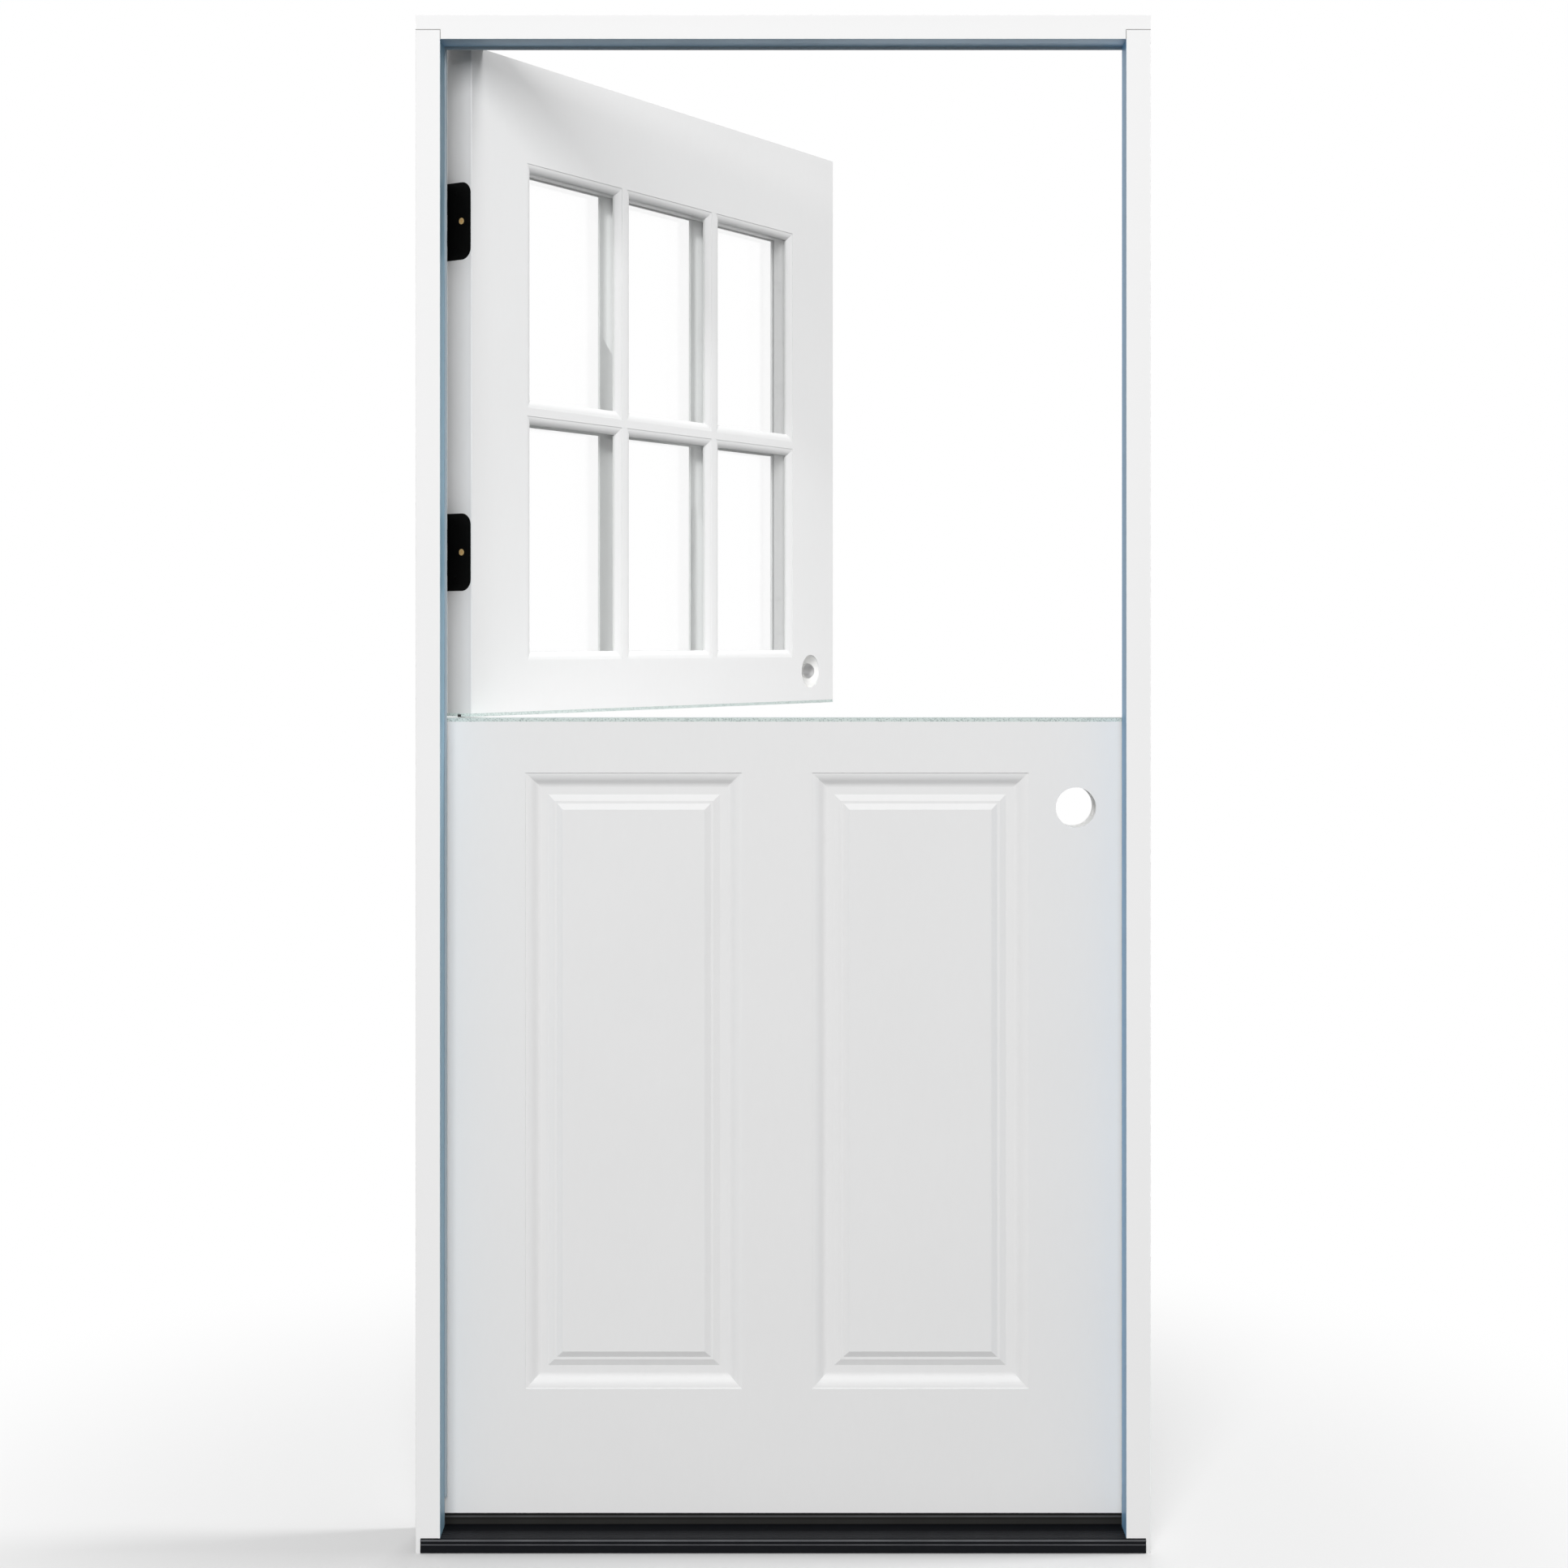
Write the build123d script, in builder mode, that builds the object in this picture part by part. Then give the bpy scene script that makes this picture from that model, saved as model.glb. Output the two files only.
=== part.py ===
"""Dutch stable door in its frame, seen from outside, in millimetres.

X runs right, Y runs from outside to inside and Z runs up. The origin lies on the underside of the
sill, midway between the jambs and midway through their depth. The door swings inwards on hinges at
the left. Every leaf piece is drawn closed, and those of the upper leaf are then swung open about
the hinge pins.
"""

import os
from dataclasses import dataclass

from build123d import *

# Frame
frame_width = 970.0
frame_height = 2030.0
jamb_depth = 92.0
jamb_thickness = 20.0
stop_projection = 12.5
eased_edge = 0.8

# Weatherstrip behind the stops
seal_space = 8.0
seal_clearance = 0.3
seal_inset = 0.7
hinge_seal_proud = 2.8
head_seal_proud = 3.6
seal_round = 3.0
kerf_width = 2.2
kerf_depth = 8.0
kerf_setback = 0.8
corner_pad_top = 60.0

# Sill
sill_height = 33.0
tread_height = 20.8
nose_height = 19.0
nose_projection = 2.0
nose_lift = 1.0
nose_lip = 8.0
nose_round = 1.4
groove_height = 13.8
groove_width = 3.0
groove_depth = 1.0
tread_wall = 1.8
rib_height = 0.6
rib_width = 2.4
rib_offsets = (4.5, 9.5, 15.0, 20.5)
rib_play = 0.2
sill_housing_wall = 6.5
stop_cope = 7.0
sill_cap_wall = 3.2
sill_cap_round = 2.0

# Leaves
leaf_thickness = 44.5
side_gap = 3.0
head_gap = 3.0
bottom_gap = 3.0
meeting_height = 1100.6
meeting_gap = 1.2
meeting_cap_thickness = 4.5
open_angle = 57.0
skin_thickness = 2.0
stile_width = 38.0
rail_height = 36.0

# Sunk panels of the lower leaf
panel_hinge_margin = 117.0
panel_lock_margin = 133.5
panel_spacing = 94.5
panel_bottom_margin = 166.0
panel_top_margin = 68.5
panel_depth = 8.0
panel_quirk = 1.0
ovolo_width = 12.5
ovolo_depth = 5.6
cove_width = 7.0
panel_flat = 10.0
lower_slope = 8.5
field_step_depth = 5.0
field_step = 3.5
upper_slope = 8.0
field_depth = 1.5

# Lights of the upper leaf
light_columns = 3
light_rows = 2
light_hinge_margin = 118.0
light_lock_margin = 124.1
light_bottom_margin = 71.8
light_top_margin = 138.9
bar_flat = 12.0
sticking_width = 11.5
sticking_depth = 6.0
sticking_quirk = 0.6
light_backing = 8.0
gasket_thickness = 0.8
glass_thickness = 3.2
glass_bite = 9.0
spacer_width = 7.0
liner_thickness = 14.0

# Lock preparation
lock_bore_diameter = 54.0
lock_backset = 70.0
upper_lock_rise = 48.0
lower_lock_drop = 115.0
latch_bore_diameter = 25.4
faceplate_height = 57.0
faceplate_width = 25.4
faceplate_recess = 3.0
latch_plate_corner = 6.0
lock_block_width = 72.0
lock_block_reach = 90.0
strike_height = 57.0
strike_width = 30.0
strike_recess = 1.6
strike_hole_diameter = 22.0
strike_hole_depth = 13.0

# Hinges
hinge_height = 105.0
plate_thickness = 2.5
plate_corner = 15.9
plate_face_margin = 2.0
plate_knuckle_gap = 0.9
knuckle_count = 5
knuckle_radius = 6.0
knuckle_gap = 0.5
knuckle_clearance = 0.3
pin_radius = 3.2
pin_clearance = 0.08
pin_head_radius = 5.0
pin_head_height = 3.0
pin_head_round = 1.2
upper_hinge_drop = 235.0
upper_hinge_rise = 218.0
lower_hinge_drop = 235.0
lower_hinge_rise = 230.0

# Screws
hinge_screw_spread = 36.0
hinge_screw_inset = 30.0
middle_screw_inset = 18.5
screw_head_radius = 4.4
screw_head_height = 2.4
screw_shank_radius = 2.0
screw_drive_radius = 1.5
screw_tip = 4.0
leaf_screw_length = 26.0
frame_screw_length = 17.0
joint_screw_length = 52.0
joint_screw_spread = 24.0
sill_screw_height = 8.5
cap_screw_count = 4
cap_screw_length = 12.0

# Meeting seal and bottom sweep
meeting_seal_width = 6.0
meeting_seal_groove = 3.0
meeting_seal_reach = 0.7
meeting_seal_round = 0.5
sweep_inset = 3.0
sweep_base = 1.2
sweep_fin = 2.0
sweep_fin_count = 3
sweep_clearance = 0.4

# A cut runs this far past the face it opens
overshoot = 1.0

# Places worked out from the sizes above
outer_x = frame_width / 2
rabbet_x = outer_x - jamb_thickness
stop_x = rabbet_x - stop_projection
housing_x = outer_x - sill_housing_wall
back_y = jamb_depth / 2
front_y = -back_y
leaf_back_y = back_y
leaf_front_y = leaf_back_y - leaf_thickness
leaf_middle_y = (leaf_front_y + leaf_back_y) / 2
stop_back_y = leaf_front_y - seal_space
core_front_y = leaf_front_y + skin_thickness
core_back_y = leaf_back_y - skin_thickness
head_z = frame_height - jamb_thickness
edge_x = rabbet_x - side_gap
inner_edge_x = edge_x - stile_width
leaf_width = 2 * edge_x
lock_x = edge_x - lock_backset
pin_x = -rabbet_x + side_gap / 2
pin_y = back_y + knuckle_radius + knuckle_clearance
plate_front_y = leaf_front_y + plate_face_margin
plate_back_y = pin_y - knuckle_radius - plate_knuckle_gap
nose_y = front_y - nose_projection
lower_bottom = sill_height + bottom_gap
lower_top = meeting_height - meeting_gap / 2 - meeting_cap_thickness
upper_bottom = meeting_height + meeting_gap / 2 + meeting_cap_thickness
upper_top = head_z - head_gap
panel_width = (leaf_width - panel_hinge_margin - panel_lock_margin - panel_spacing) / 2
panel_height = lower_top - lower_bottom - panel_bottom_margin - panel_top_margin
panel_z = lower_bottom + panel_bottom_margin + panel_height / 2
lights_width = leaf_width - light_hinge_margin - light_lock_margin
lights_height = upper_top - upper_bottom - light_bottom_margin - light_top_margin
lights_x = -edge_x + light_hinge_margin + lights_width / 2
lights_z = upper_bottom + light_bottom_margin + lights_height / 2
column_pitch = (lights_width + bar_flat) / light_columns
row_pitch = (lights_height + bar_flat) / light_rows
light_width = column_pitch - bar_flat - 2 * sticking_width
light_height = row_pitch - bar_flat - 2 * sticking_width
liner_right_x = lights_x + lights_width / 2 + liner_thickness
upper_lock_z = upper_bottom + upper_lock_rise
lower_lock_z = lower_top - lower_lock_drop


@dataclass
class Leaf:
    """One leaf of the door: its slab's bottom and top, its lock and its two hinges."""

    bottom: float
    top: float
    lock_z: float
    hinge_heights: tuple
    block_left_x: float
    block_bottom: float
    block_top: float


upper = Leaf(
    bottom=upper_bottom,
    top=upper_top,
    lock_z=upper_lock_z,
    hinge_heights=(upper_bottom + upper_hinge_rise, upper_top - upper_hinge_drop),
    block_left_x=liner_right_x,
    block_bottom=upper_bottom,
    block_top=upper_lock_z + lock_block_reach,
)
lower = Leaf(
    bottom=lower_bottom,
    top=lower_top,
    lock_z=lower_lock_z,
    hinge_heights=(lower_bottom + lower_hinge_rise, lower_top - lower_hinge_drop),
    block_left_x=inner_edge_x - lock_block_width,
    block_bottom=lower_lock_z - lock_block_reach,
    block_top=lower_top - rail_height,
)
all_hinge_heights = lower.hinge_heights + upper.hinge_heights


# Helpers


def level(height):
    """Horizontal sketch plane at a height, with X and Y as on the door."""
    return Plane.XY.offset(height)


def upright(x):
    """Sketch plane facing -X at x: its first axis is the door's Z and its second is Y."""
    return Plane(origin=(x, 0, 0), x_dir=(0, 0, 1), z_dir=(-1, 0, 0))


def block(x0, x1, y0, y1, z0, z1):
    """Rectangular piece between two corners."""
    with BuildPart() as piece:
        with BuildSketch(level(z0)):
            with Locations(((x0 + x1) / 2, (y0 + y1) / 2)):
                Rectangle(x1 - x0, y1 - y0)
        extrude(amount=z1 - z0)
    return piece.part


def swing(part):
    """Turn a piece of the upper leaf from closed to where it stands open."""
    return part.rotate(Axis((pin_x, pin_y, 0), (0, 0, 1)), open_angle)


def mirror_through_leaf(part):
    """Copy of an outer piece on the inner side of the leaf."""
    return part.mirror(Plane(origin=(0, leaf_middle_y, 0), z_dir=(0, 1, 0)))


def cross_bore(x, z, diameter):
    """Round bore right through a leaf, along Y."""
    with BuildPart() as bore:
        with BuildSketch(Plane(origin=(x, leaf_front_y - overshoot, z), z_dir=(0, 1, 0))):
            Circle(diameter / 2)
        extrude(amount=leaf_thickness + 2 * overshoot)
    return bore.part


def crossed(section_of, width, height, centre_x, centre_z):
    """Solid whose section, worked out for a span, runs both across and up, with mitred corners."""
    reach = max(width, height)
    with BuildPart() as solid:
        with BuildSketch(level(centre_z - reach)):
            with Locations((centre_x, leaf_front_y)):
                add(section_of(width))
        extrude(amount=2 * reach)
        with BuildSketch(upright(centre_x + reach)):
            with Locations((centre_z, leaf_front_y)):
                add(section_of(height))
        extrude(amount=2 * reach, mode=Mode.INTERSECT)
    return solid.part


def screw(length, drive=True):
    """Countersunk screw with its head's face at the origin and its tip towards -Z."""
    head = [(0, -screw_drive_radius), (screw_drive_radius, 0)] if drive else [(0, 0)]
    shank = [
        (screw_head_radius, 0),
        (screw_shank_radius, -screw_head_height),
        (screw_shank_radius, screw_tip - length),
        (0, -length),
    ]
    with BuildPart() as piece:
        with BuildSketch(Plane.XZ):
            with BuildLine():
                Polyline(*head, *shank, close=True)
            make_face()
        revolve(axis=Axis.Z)
    return piece.part


def screws(places, facing, length, drive=True):
    """Group of screws whose heads look along facing."""
    one = screw(length, drive)
    with BuildPart() as group:
        for place in places:
            add(one.moved(Location(Plane(origin=place, z_dir=facing))))
    return group.part


# Frame


def side_kerf(side):
    """Saw slot behind a side stop that holds the weatherstrip's barb."""
    with BuildPart() as kerf:
        with BuildSketch(level(0)):
            with Locations(
                (side * (rabbet_x + kerf_depth / 2), stop_back_y + kerf_setback + kerf_width / 2)
            ):
                Rectangle(kerf_depth, kerf_width)
        extrude(amount=head_z)
    return kerf.part


def sill_housing():
    """Space that the sill takes out of the feet of both jambs."""
    with BuildPart() as space:
        with BuildSketch(upright(housing_x)):
            with BuildLine():
                Polyline(
                    (-overshoot, nose_y - overshoot),
                    (nose_height + rib_height + rib_play, nose_y - overshoot),
                    (nose_height + rib_height + rib_play, front_y),
                    (tread_height + rib_height + rib_play, leaf_front_y),
                    (tread_height, leaf_front_y),
                    (tread_height, back_y + overshoot),
                    (-overshoot, back_y + overshoot),
                    close=True,
                )
            make_face()
        extrude(amount=2 * housing_x)
    return space.part


def stop_foot_cope(side):
    """Bevel under the stop where the jamb stands on the tread."""
    foot_z = nose_height + rib_height
    with BuildPart() as cope:
        with BuildSketch(Plane(origin=(0, front_y - overshoot, 0), z_dir=(0, -1, 0))):
            with BuildLine():
                Polyline(
                    (side * (stop_x - overshoot), foot_z - overshoot),
                    (side * (stop_x + stop_cope + overshoot), foot_z - overshoot),
                    (side * (stop_x - overshoot), foot_z + stop_cope + overshoot),
                    close=True,
                )
            make_face()
        extrude(amount=-(stop_back_y - front_y + overshoot))
    return cope.part


def side_jamb(side):
    """Rabbeted side jamb, at the left for side -1 and at the right for side 1."""
    with BuildPart() as jamb:
        with BuildSketch(level(0)):
            with BuildLine():
                Polyline(
                    (side * outer_x, front_y),
                    (side * stop_x, front_y),
                    (side * stop_x, stop_back_y),
                    (side * rabbet_x, stop_back_y),
                    (side * rabbet_x, back_y),
                    (side * outer_x, back_y),
                    close=True,
                )
            face = make_face()
            fillet(face.vertices().group_by(Axis.Y)[0], eased_edge)
        extrude(amount=head_z)
        add(side_kerf(side), mode=Mode.SUBTRACT)
        add(sill_housing(), mode=Mode.SUBTRACT)
        add(stop_foot_cope(side), mode=Mode.SUBTRACT)
        add(head_screws(drive=False), mode=Mode.SUBTRACT)
        add(sill_screws(drive=False), mode=Mode.SUBTRACT)
    return jamb.part


def hinge_jamb():
    """Left jamb with a mortise for each hinge."""
    with BuildPart() as jamb:
        add(side_jamb(-1))
        for height in all_hinge_heights:
            add(hinge_mortise(-1, height), mode=Mode.SUBTRACT)
        add(frame_hinge_screws(drive=False), mode=Mode.SUBTRACT)
    return jamb.part


def strike_jamb():
    """Right jamb with the two strike mortises and their latch holes."""
    with BuildPart() as jamb:
        add(side_jamb(1))
        for height in (lower.lock_z, upper.lock_z):
            face = Plane(origin=(rabbet_x, leaf_middle_y, height), z_dir=(-1, 0, 0))
            with BuildSketch(face):
                RectangleRounded(strike_width, strike_height, latch_plate_corner)
            extrude(amount=-strike_recess, mode=Mode.SUBTRACT)
            with BuildSketch(face):
                Circle(strike_hole_diameter / 2)
            extrude(amount=-strike_hole_depth, mode=Mode.SUBTRACT)
    return jamb.part


def head_jamb():
    """Head laid over the side jambs, with its stop let down between theirs."""
    with BuildPart() as head:
        with BuildSketch(upright(outer_x)):
            with Locations(((head_z + frame_height) / 2, 0)):
                Rectangle(jamb_thickness, jamb_depth)
        extrude(amount=frame_width)
        with BuildSketch(upright(stop_x)):
            with Locations((head_z - stop_projection / 2, (front_y + stop_back_y) / 2)):
                Rectangle(stop_projection, stop_back_y - front_y)
        extrude(amount=2 * stop_x)
        with BuildSketch(upright(rabbet_x)):
            with Locations(
                (head_z + kerf_depth / 2, stop_back_y + kerf_setback + kerf_width / 2)
            ):
                Rectangle(kerf_depth, kerf_width)
        extrude(amount=2 * rabbet_x, mode=Mode.SUBTRACT)
        add(head_screws(drive=False), mode=Mode.SUBTRACT)
        front_edges = head.edges().group_by(Axis.Y)[0].filter_by(Axis.X)
        fillet(front_edges, eased_edge)
    return head.part


def seal_section(corner, outward, inset):
    """Foam bulb and barb. The corner is the rabbet's, and outward points into the jamb."""
    bulb_edge = corner - outward * (stop_projection - inset)
    bulb_back = leaf_front_y - seal_clearance
    barb_front = stop_back_y + kerf_setback
    points = [
        (corner, stop_back_y),
        (bulb_edge, stop_back_y),
        (bulb_edge, bulb_back),
        (corner, bulb_back),
        (corner, barb_front + kerf_width),
        (corner + outward * kerf_depth, barb_front + kerf_width),
        (corner + outward * kerf_depth, barb_front),
        (corner, barb_front),
    ]
    with BuildSketch() as section:
        with BuildLine():
            Polyline(*points, close=True)
        face = make_face()
        rounded = face.vertices().sort_by_distance((bulb_edge, bulb_back))[0]
        fillet(rounded, seal_round)
    return section.sketch


def side_weatherstrip(side, inset):
    """Foam strip behind a side stop, between the corner pad and the head's strip."""
    with BuildPart() as strip:
        with BuildSketch(level(corner_pad_top)):
            add(seal_section(side * rabbet_x, side, inset))
        extrude(amount=head_z - stop_projection - head_seal_proud - corner_pad_top)
    return strip.part


def head_weatherstrip():
    """Foam strip behind the head stop, laid over the side strips."""
    with BuildPart() as strip:
        with BuildSketch(upright(rabbet_x)):
            add(seal_section(head_z, 1, -head_seal_proud))
        extrude(amount=2 * rabbet_x)
    return strip.part


def corner_pads():
    """Foam pads at the foot of the side strips, one at each jamb."""
    with BuildPart() as pads:
        for side in (-1, 1):
            with BuildSketch(level(tread_height)):
                with Locations(
                    (
                        side * (rabbet_x - (stop_projection - seal_inset) / 2),
                        (stop_back_y + leaf_front_y - seal_clearance) / 2,
                    )
                ):
                    Rectangle(
                        stop_projection - seal_inset,
                        leaf_front_y - seal_clearance - stop_back_y,
                    )
            extrude(amount=corner_pad_top - tread_height)
    return pads.part


def head_screws(drive=True):
    """Four screws down through the head into the side jambs."""
    places = [
        (side * (outer_x - jamb_thickness / 2), depth * joint_screw_spread, frame_height)
        for side in (-1, 1)
        for depth in (-1, 1)
    ]
    return screws(places, (0, 0, 1), joint_screw_length, drive)


def sill_screws(drive=True):
    """Four screws through the jambs into the ends of the sill base."""
    left = [(-outer_x, depth * joint_screw_spread, sill_screw_height) for depth in (-1, 1)]
    right = [(outer_x, depth * joint_screw_spread, sill_screw_height) for depth in (-1, 1)]
    with BuildPart() as group:
        add(screws(left, (-1, 0, 0), joint_screw_length, drive))
        add(screws(right, (1, 0, 0), joint_screw_length, drive))
    return group.part


# Sill


def sill_base():
    """Solid core of the sill under the metal tread."""
    with BuildPart() as base:
        with BuildSketch(upright(housing_x)):
            with BuildLine():
                Polyline(
                    (0, nose_y + nose_lip),
                    (nose_lift + tread_wall, nose_y + nose_lip),
                    (nose_lift + tread_wall, nose_y + groove_depth + tread_wall),
                    (nose_height - tread_wall, nose_y + groove_depth + tread_wall),
                    (tread_height - tread_wall, leaf_front_y),
                    (tread_height - tread_wall, back_y - tread_wall),
                    (0, back_y - tread_wall),
                    close=True,
                )
            make_face()
        extrude(amount=2 * housing_x)
        add(sill_screws(drive=False), mode=Mode.SUBTRACT)
    return base.part


def sill_tread():
    """Folded metal tread with a grooved nose, anti-slip ribs and a back return."""
    wall_y = nose_y + groove_depth + tread_wall
    groove_top = groove_height + groove_width / 2
    groove_foot = groove_height - groove_width / 2
    with BuildPart() as tread:
        with BuildSketch(upright(housing_x)):
            with BuildLine():
                Polyline(
                    (nose_lift, nose_y + nose_lip),
                    (nose_lift, nose_y),
                    (groove_foot, nose_y),
                    (groove_foot + groove_depth / 2, nose_y + groove_depth),
                    (groove_top - groove_depth / 2, nose_y + groove_depth),
                    (groove_top, nose_y),
                    (nose_height, nose_y),
                    (nose_height, front_y),
                    (tread_height, leaf_front_y),
                    (tread_height, back_y),
                    (nose_lift, back_y),
                    (nose_lift, back_y - tread_wall),
                    (tread_height - tread_wall, back_y - tread_wall),
                    (tread_height - tread_wall, leaf_front_y),
                    (nose_height - tread_wall, wall_y),
                    (nose_lift + tread_wall, wall_y),
                    (nose_lift + tread_wall, nose_y + nose_lip),
                    close=True,
                )
            face = make_face()
            nose_corners = face.vertices().group_by(Axis.Y)[0].sort_by(Axis.X)
            fillet(nose_corners[-1], nose_round)
            for offset in rib_offsets:
                rise = (tread_height - nose_height) * offset / (leaf_front_y - front_y)
                with Locations((nose_height + rise, front_y + offset)):
                    Ellipse(rib_height, rib_width / 2)
        extrude(amount=2 * housing_x)
    return tread.part


def sill_cap():
    """Hollow cap under the lower leaf, set down over the tread between the jambs."""
    with BuildPart() as cap:
        with BuildSketch(upright(rabbet_x)):
            with Locations(((tread_height + sill_height) / 2, (leaf_front_y + back_y) / 2)):
                outline = Rectangle(sill_height - tread_height, leaf_thickness)
            fillet(outline.vertices().group_by(Axis.X)[-1], sill_cap_round)
            with Locations(
                ((tread_height + sill_height - sill_cap_wall) / 2, (leaf_front_y + back_y) / 2)
            ):
                Rectangle(
                    sill_height - sill_cap_wall - tread_height,
                    leaf_thickness - 2 * sill_cap_wall,
                    mode=Mode.SUBTRACT,
                )
        extrude(amount=2 * rabbet_x)
        add(cap_screws(drive=False), mode=Mode.SUBTRACT)
    return cap.part


def cap_screws(drive=True):
    """Screws down through the cap that set its height."""
    spacing = 2 * rabbet_x / cap_screw_count
    places = [
        (-rabbet_x + (index + 0.5) * spacing, (leaf_front_y + back_y) / 2, sill_height)
        for index in range(cap_screw_count)
    ]
    return screws(places, (0, 0, 1), cap_screw_length, drive)


# Hinges


def plate_outline():
    """Hinge plate seen from the side, rounded at its two corners near the outer face."""
    with BuildSketch() as outline:
        with Locations((0, (plate_front_y + plate_back_y) / 2)):
            plate = Rectangle(hinge_height, plate_back_y - plate_front_y)
        fillet(plate.vertices().group_by(Axis.Y)[0], plate_corner)
    return outline.sketch


def hinge_mortise(side, height):
    """Recess for one plate: side -1 in the jamb and side 1 in the leaf's edge."""
    face_x = pin_x + side * side_gap / 2
    with BuildPart() as recess:
        with BuildSketch(upright(face_x)):
            with Locations((height, 0)):
                add(plate_outline())
            with Locations((height, (plate_back_y + back_y + overshoot) / 2)):
                Rectangle(hinge_height, back_y + overshoot - plate_back_y)
        extrude(amount=-side * plate_thickness)
    return recess.part


def hinge_screw_places(side, height):
    """Head centres of a plate's outer screws and of its middle screw."""
    face_x = pin_x + side * side_gap / 2
    outer = [
        (face_x, leaf_front_y + hinge_screw_inset, height + end * hinge_screw_spread)
        for end in (-1, 1)
    ]
    middle = [(face_x, leaf_front_y + middle_screw_inset, height)]
    return outer, middle


def frame_hinge_screws(drive=True):
    """Screws through the frame plates into the hinge jamb."""
    places = []
    for height in all_hinge_heights:
        outer, middle = hinge_screw_places(-1, height)
        places += outer + middle
    return screws(places, (1, 0, 0), frame_screw_length, drive)


def leaf_outer_screws(leaf, drive=True):
    """Dark screws at the ends of a leaf's plates."""
    places = []
    for height in leaf.hinge_heights:
        places += hinge_screw_places(1, height)[0]
    return screws(places, (-1, 0, 0), leaf_screw_length, drive)


def leaf_middle_screws(leaf, drive=True):
    """Brass screw at the middle of each of a leaf's plates."""
    places = []
    for height in leaf.hinge_heights:
        places += hinge_screw_places(1, height)[1]
    return screws(places, (-1, 0, 0), leaf_screw_length, drive)


def hinge_half(side, height):
    """Plate with its knuckles: side -1 has the odd ones and side 1 those between."""
    face_x = pin_x + side * side_gap / 2
    pitch = hinge_height / knuckle_count
    first = 0 if side < 0 else 1
    outer, middle = hinge_screw_places(side, height)
    with BuildPart() as half:
        with BuildSketch(upright(face_x)):
            with Locations((height, 0)):
                add(plate_outline())
        extrude(amount=-side * plate_thickness)
        for index in range(first, knuckle_count, 2):
            foot = height - hinge_height / 2 + index * pitch
            low = foot if index == 0 else foot + knuckle_gap / 2
            high = foot + pitch if index == knuckle_count - 1 else foot + pitch - knuckle_gap / 2
            with BuildSketch(level(low)):
                with Locations((pin_x, pin_y)):
                    Circle(knuckle_radius)
                with Locations(
                    (face_x + side * plate_thickness / 2, (plate_back_y - overshoot + pin_y) / 2)
                ):
                    Rectangle(plate_thickness, pin_y - plate_back_y + overshoot)
            extrude(amount=high - low)
        bore_radius = pin_radius if side < 0 else pin_radius + pin_clearance
        with BuildSketch(level(height - hinge_height / 2 - overshoot)):
            with Locations((pin_x, pin_y)):
                Circle(bore_radius)
        extrude(amount=hinge_height + 2 * overshoot, mode=Mode.SUBTRACT)
        add(
            screws(outer + middle, (-side, 0, 0), leaf_screw_length, drive=False),
            mode=Mode.SUBTRACT,
        )
    return half.part


def hinge_pin(height):
    """Pin with a button head, driven into the frame's knuckles."""
    top = height + hinge_height / 2
    with BuildPart() as pin:
        with BuildSketch(level(top - hinge_height)):
            with Locations((pin_x, pin_y)):
                Circle(pin_radius)
        extrude(amount=hinge_height)
        with BuildSketch(level(top)):
            with Locations((pin_x, pin_y)):
                Circle(pin_head_radius)
        extrude(amount=pin_head_height)
        fillet(pin.edges().group_by(Axis.Z)[-1], pin_head_round)
    return pin.part


# Parts that both leaves have


def hinge_stile(leaf):
    """Stile at the hinge edge, with the mortises cut in it."""
    with BuildPart() as stile:
        add(block(-edge_x, -inner_edge_x, core_front_y, core_back_y, leaf.bottom, leaf.top))
        for height in leaf.hinge_heights:
            add(hinge_mortise(1, height), mode=Mode.SUBTRACT)
        add(leaf_outer_screws(leaf, drive=False), mode=Mode.SUBTRACT)
        add(leaf_middle_screws(leaf, drive=False), mode=Mode.SUBTRACT)
    return stile.part


def latch_cut(leaf):
    """Latch bore from the lock edge to the lock bore, with its faceplate recess."""
    edge = Plane(origin=(edge_x, leaf_middle_y, leaf.lock_z), z_dir=(1, 0, 0))
    with BuildPart() as cut:
        with BuildSketch(edge):
            Circle(latch_bore_diameter / 2)
        extrude(amount=-lock_backset)
        with BuildSketch(edge):
            RectangleRounded(faceplate_width, faceplate_height, latch_plate_corner)
        extrude(amount=-faceplate_recess)
    return cut.part


def lock_stile(leaf):
    """Stile at the lock edge, with the latch bore through it."""
    with BuildPart() as stile:
        add(block(inner_edge_x, edge_x, core_front_y, core_back_y, leaf.bottom, leaf.top))
        add(latch_cut(leaf), mode=Mode.SUBTRACT)
    return stile.part


def lock_block(leaf):
    """Solid block beside the lock stile that the lock is bored through."""
    with BuildPart() as piece:
        add(
            block(
                leaf.block_left_x,
                inner_edge_x,
                core_front_y,
                core_back_y,
                leaf.block_bottom,
                leaf.block_top,
            )
        )
        add(latch_cut(leaf), mode=Mode.SUBTRACT)
        add(cross_bore(lock_x, leaf.lock_z, lock_bore_diameter), mode=Mode.SUBTRACT)
    return piece.part


def rail(right_x, bottom):
    """Rail between the stiles, from the hinge stile to right_x."""
    return block(
        -inner_edge_x, right_x, core_front_y, core_back_y, bottom, bottom + rail_height
    )


# Lower leaf


def panel_centres():
    """Middles of the two panels, left and right."""
    left = -edge_x + panel_hinge_margin + panel_width / 2
    return left, left + panel_width + panel_spacing


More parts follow.
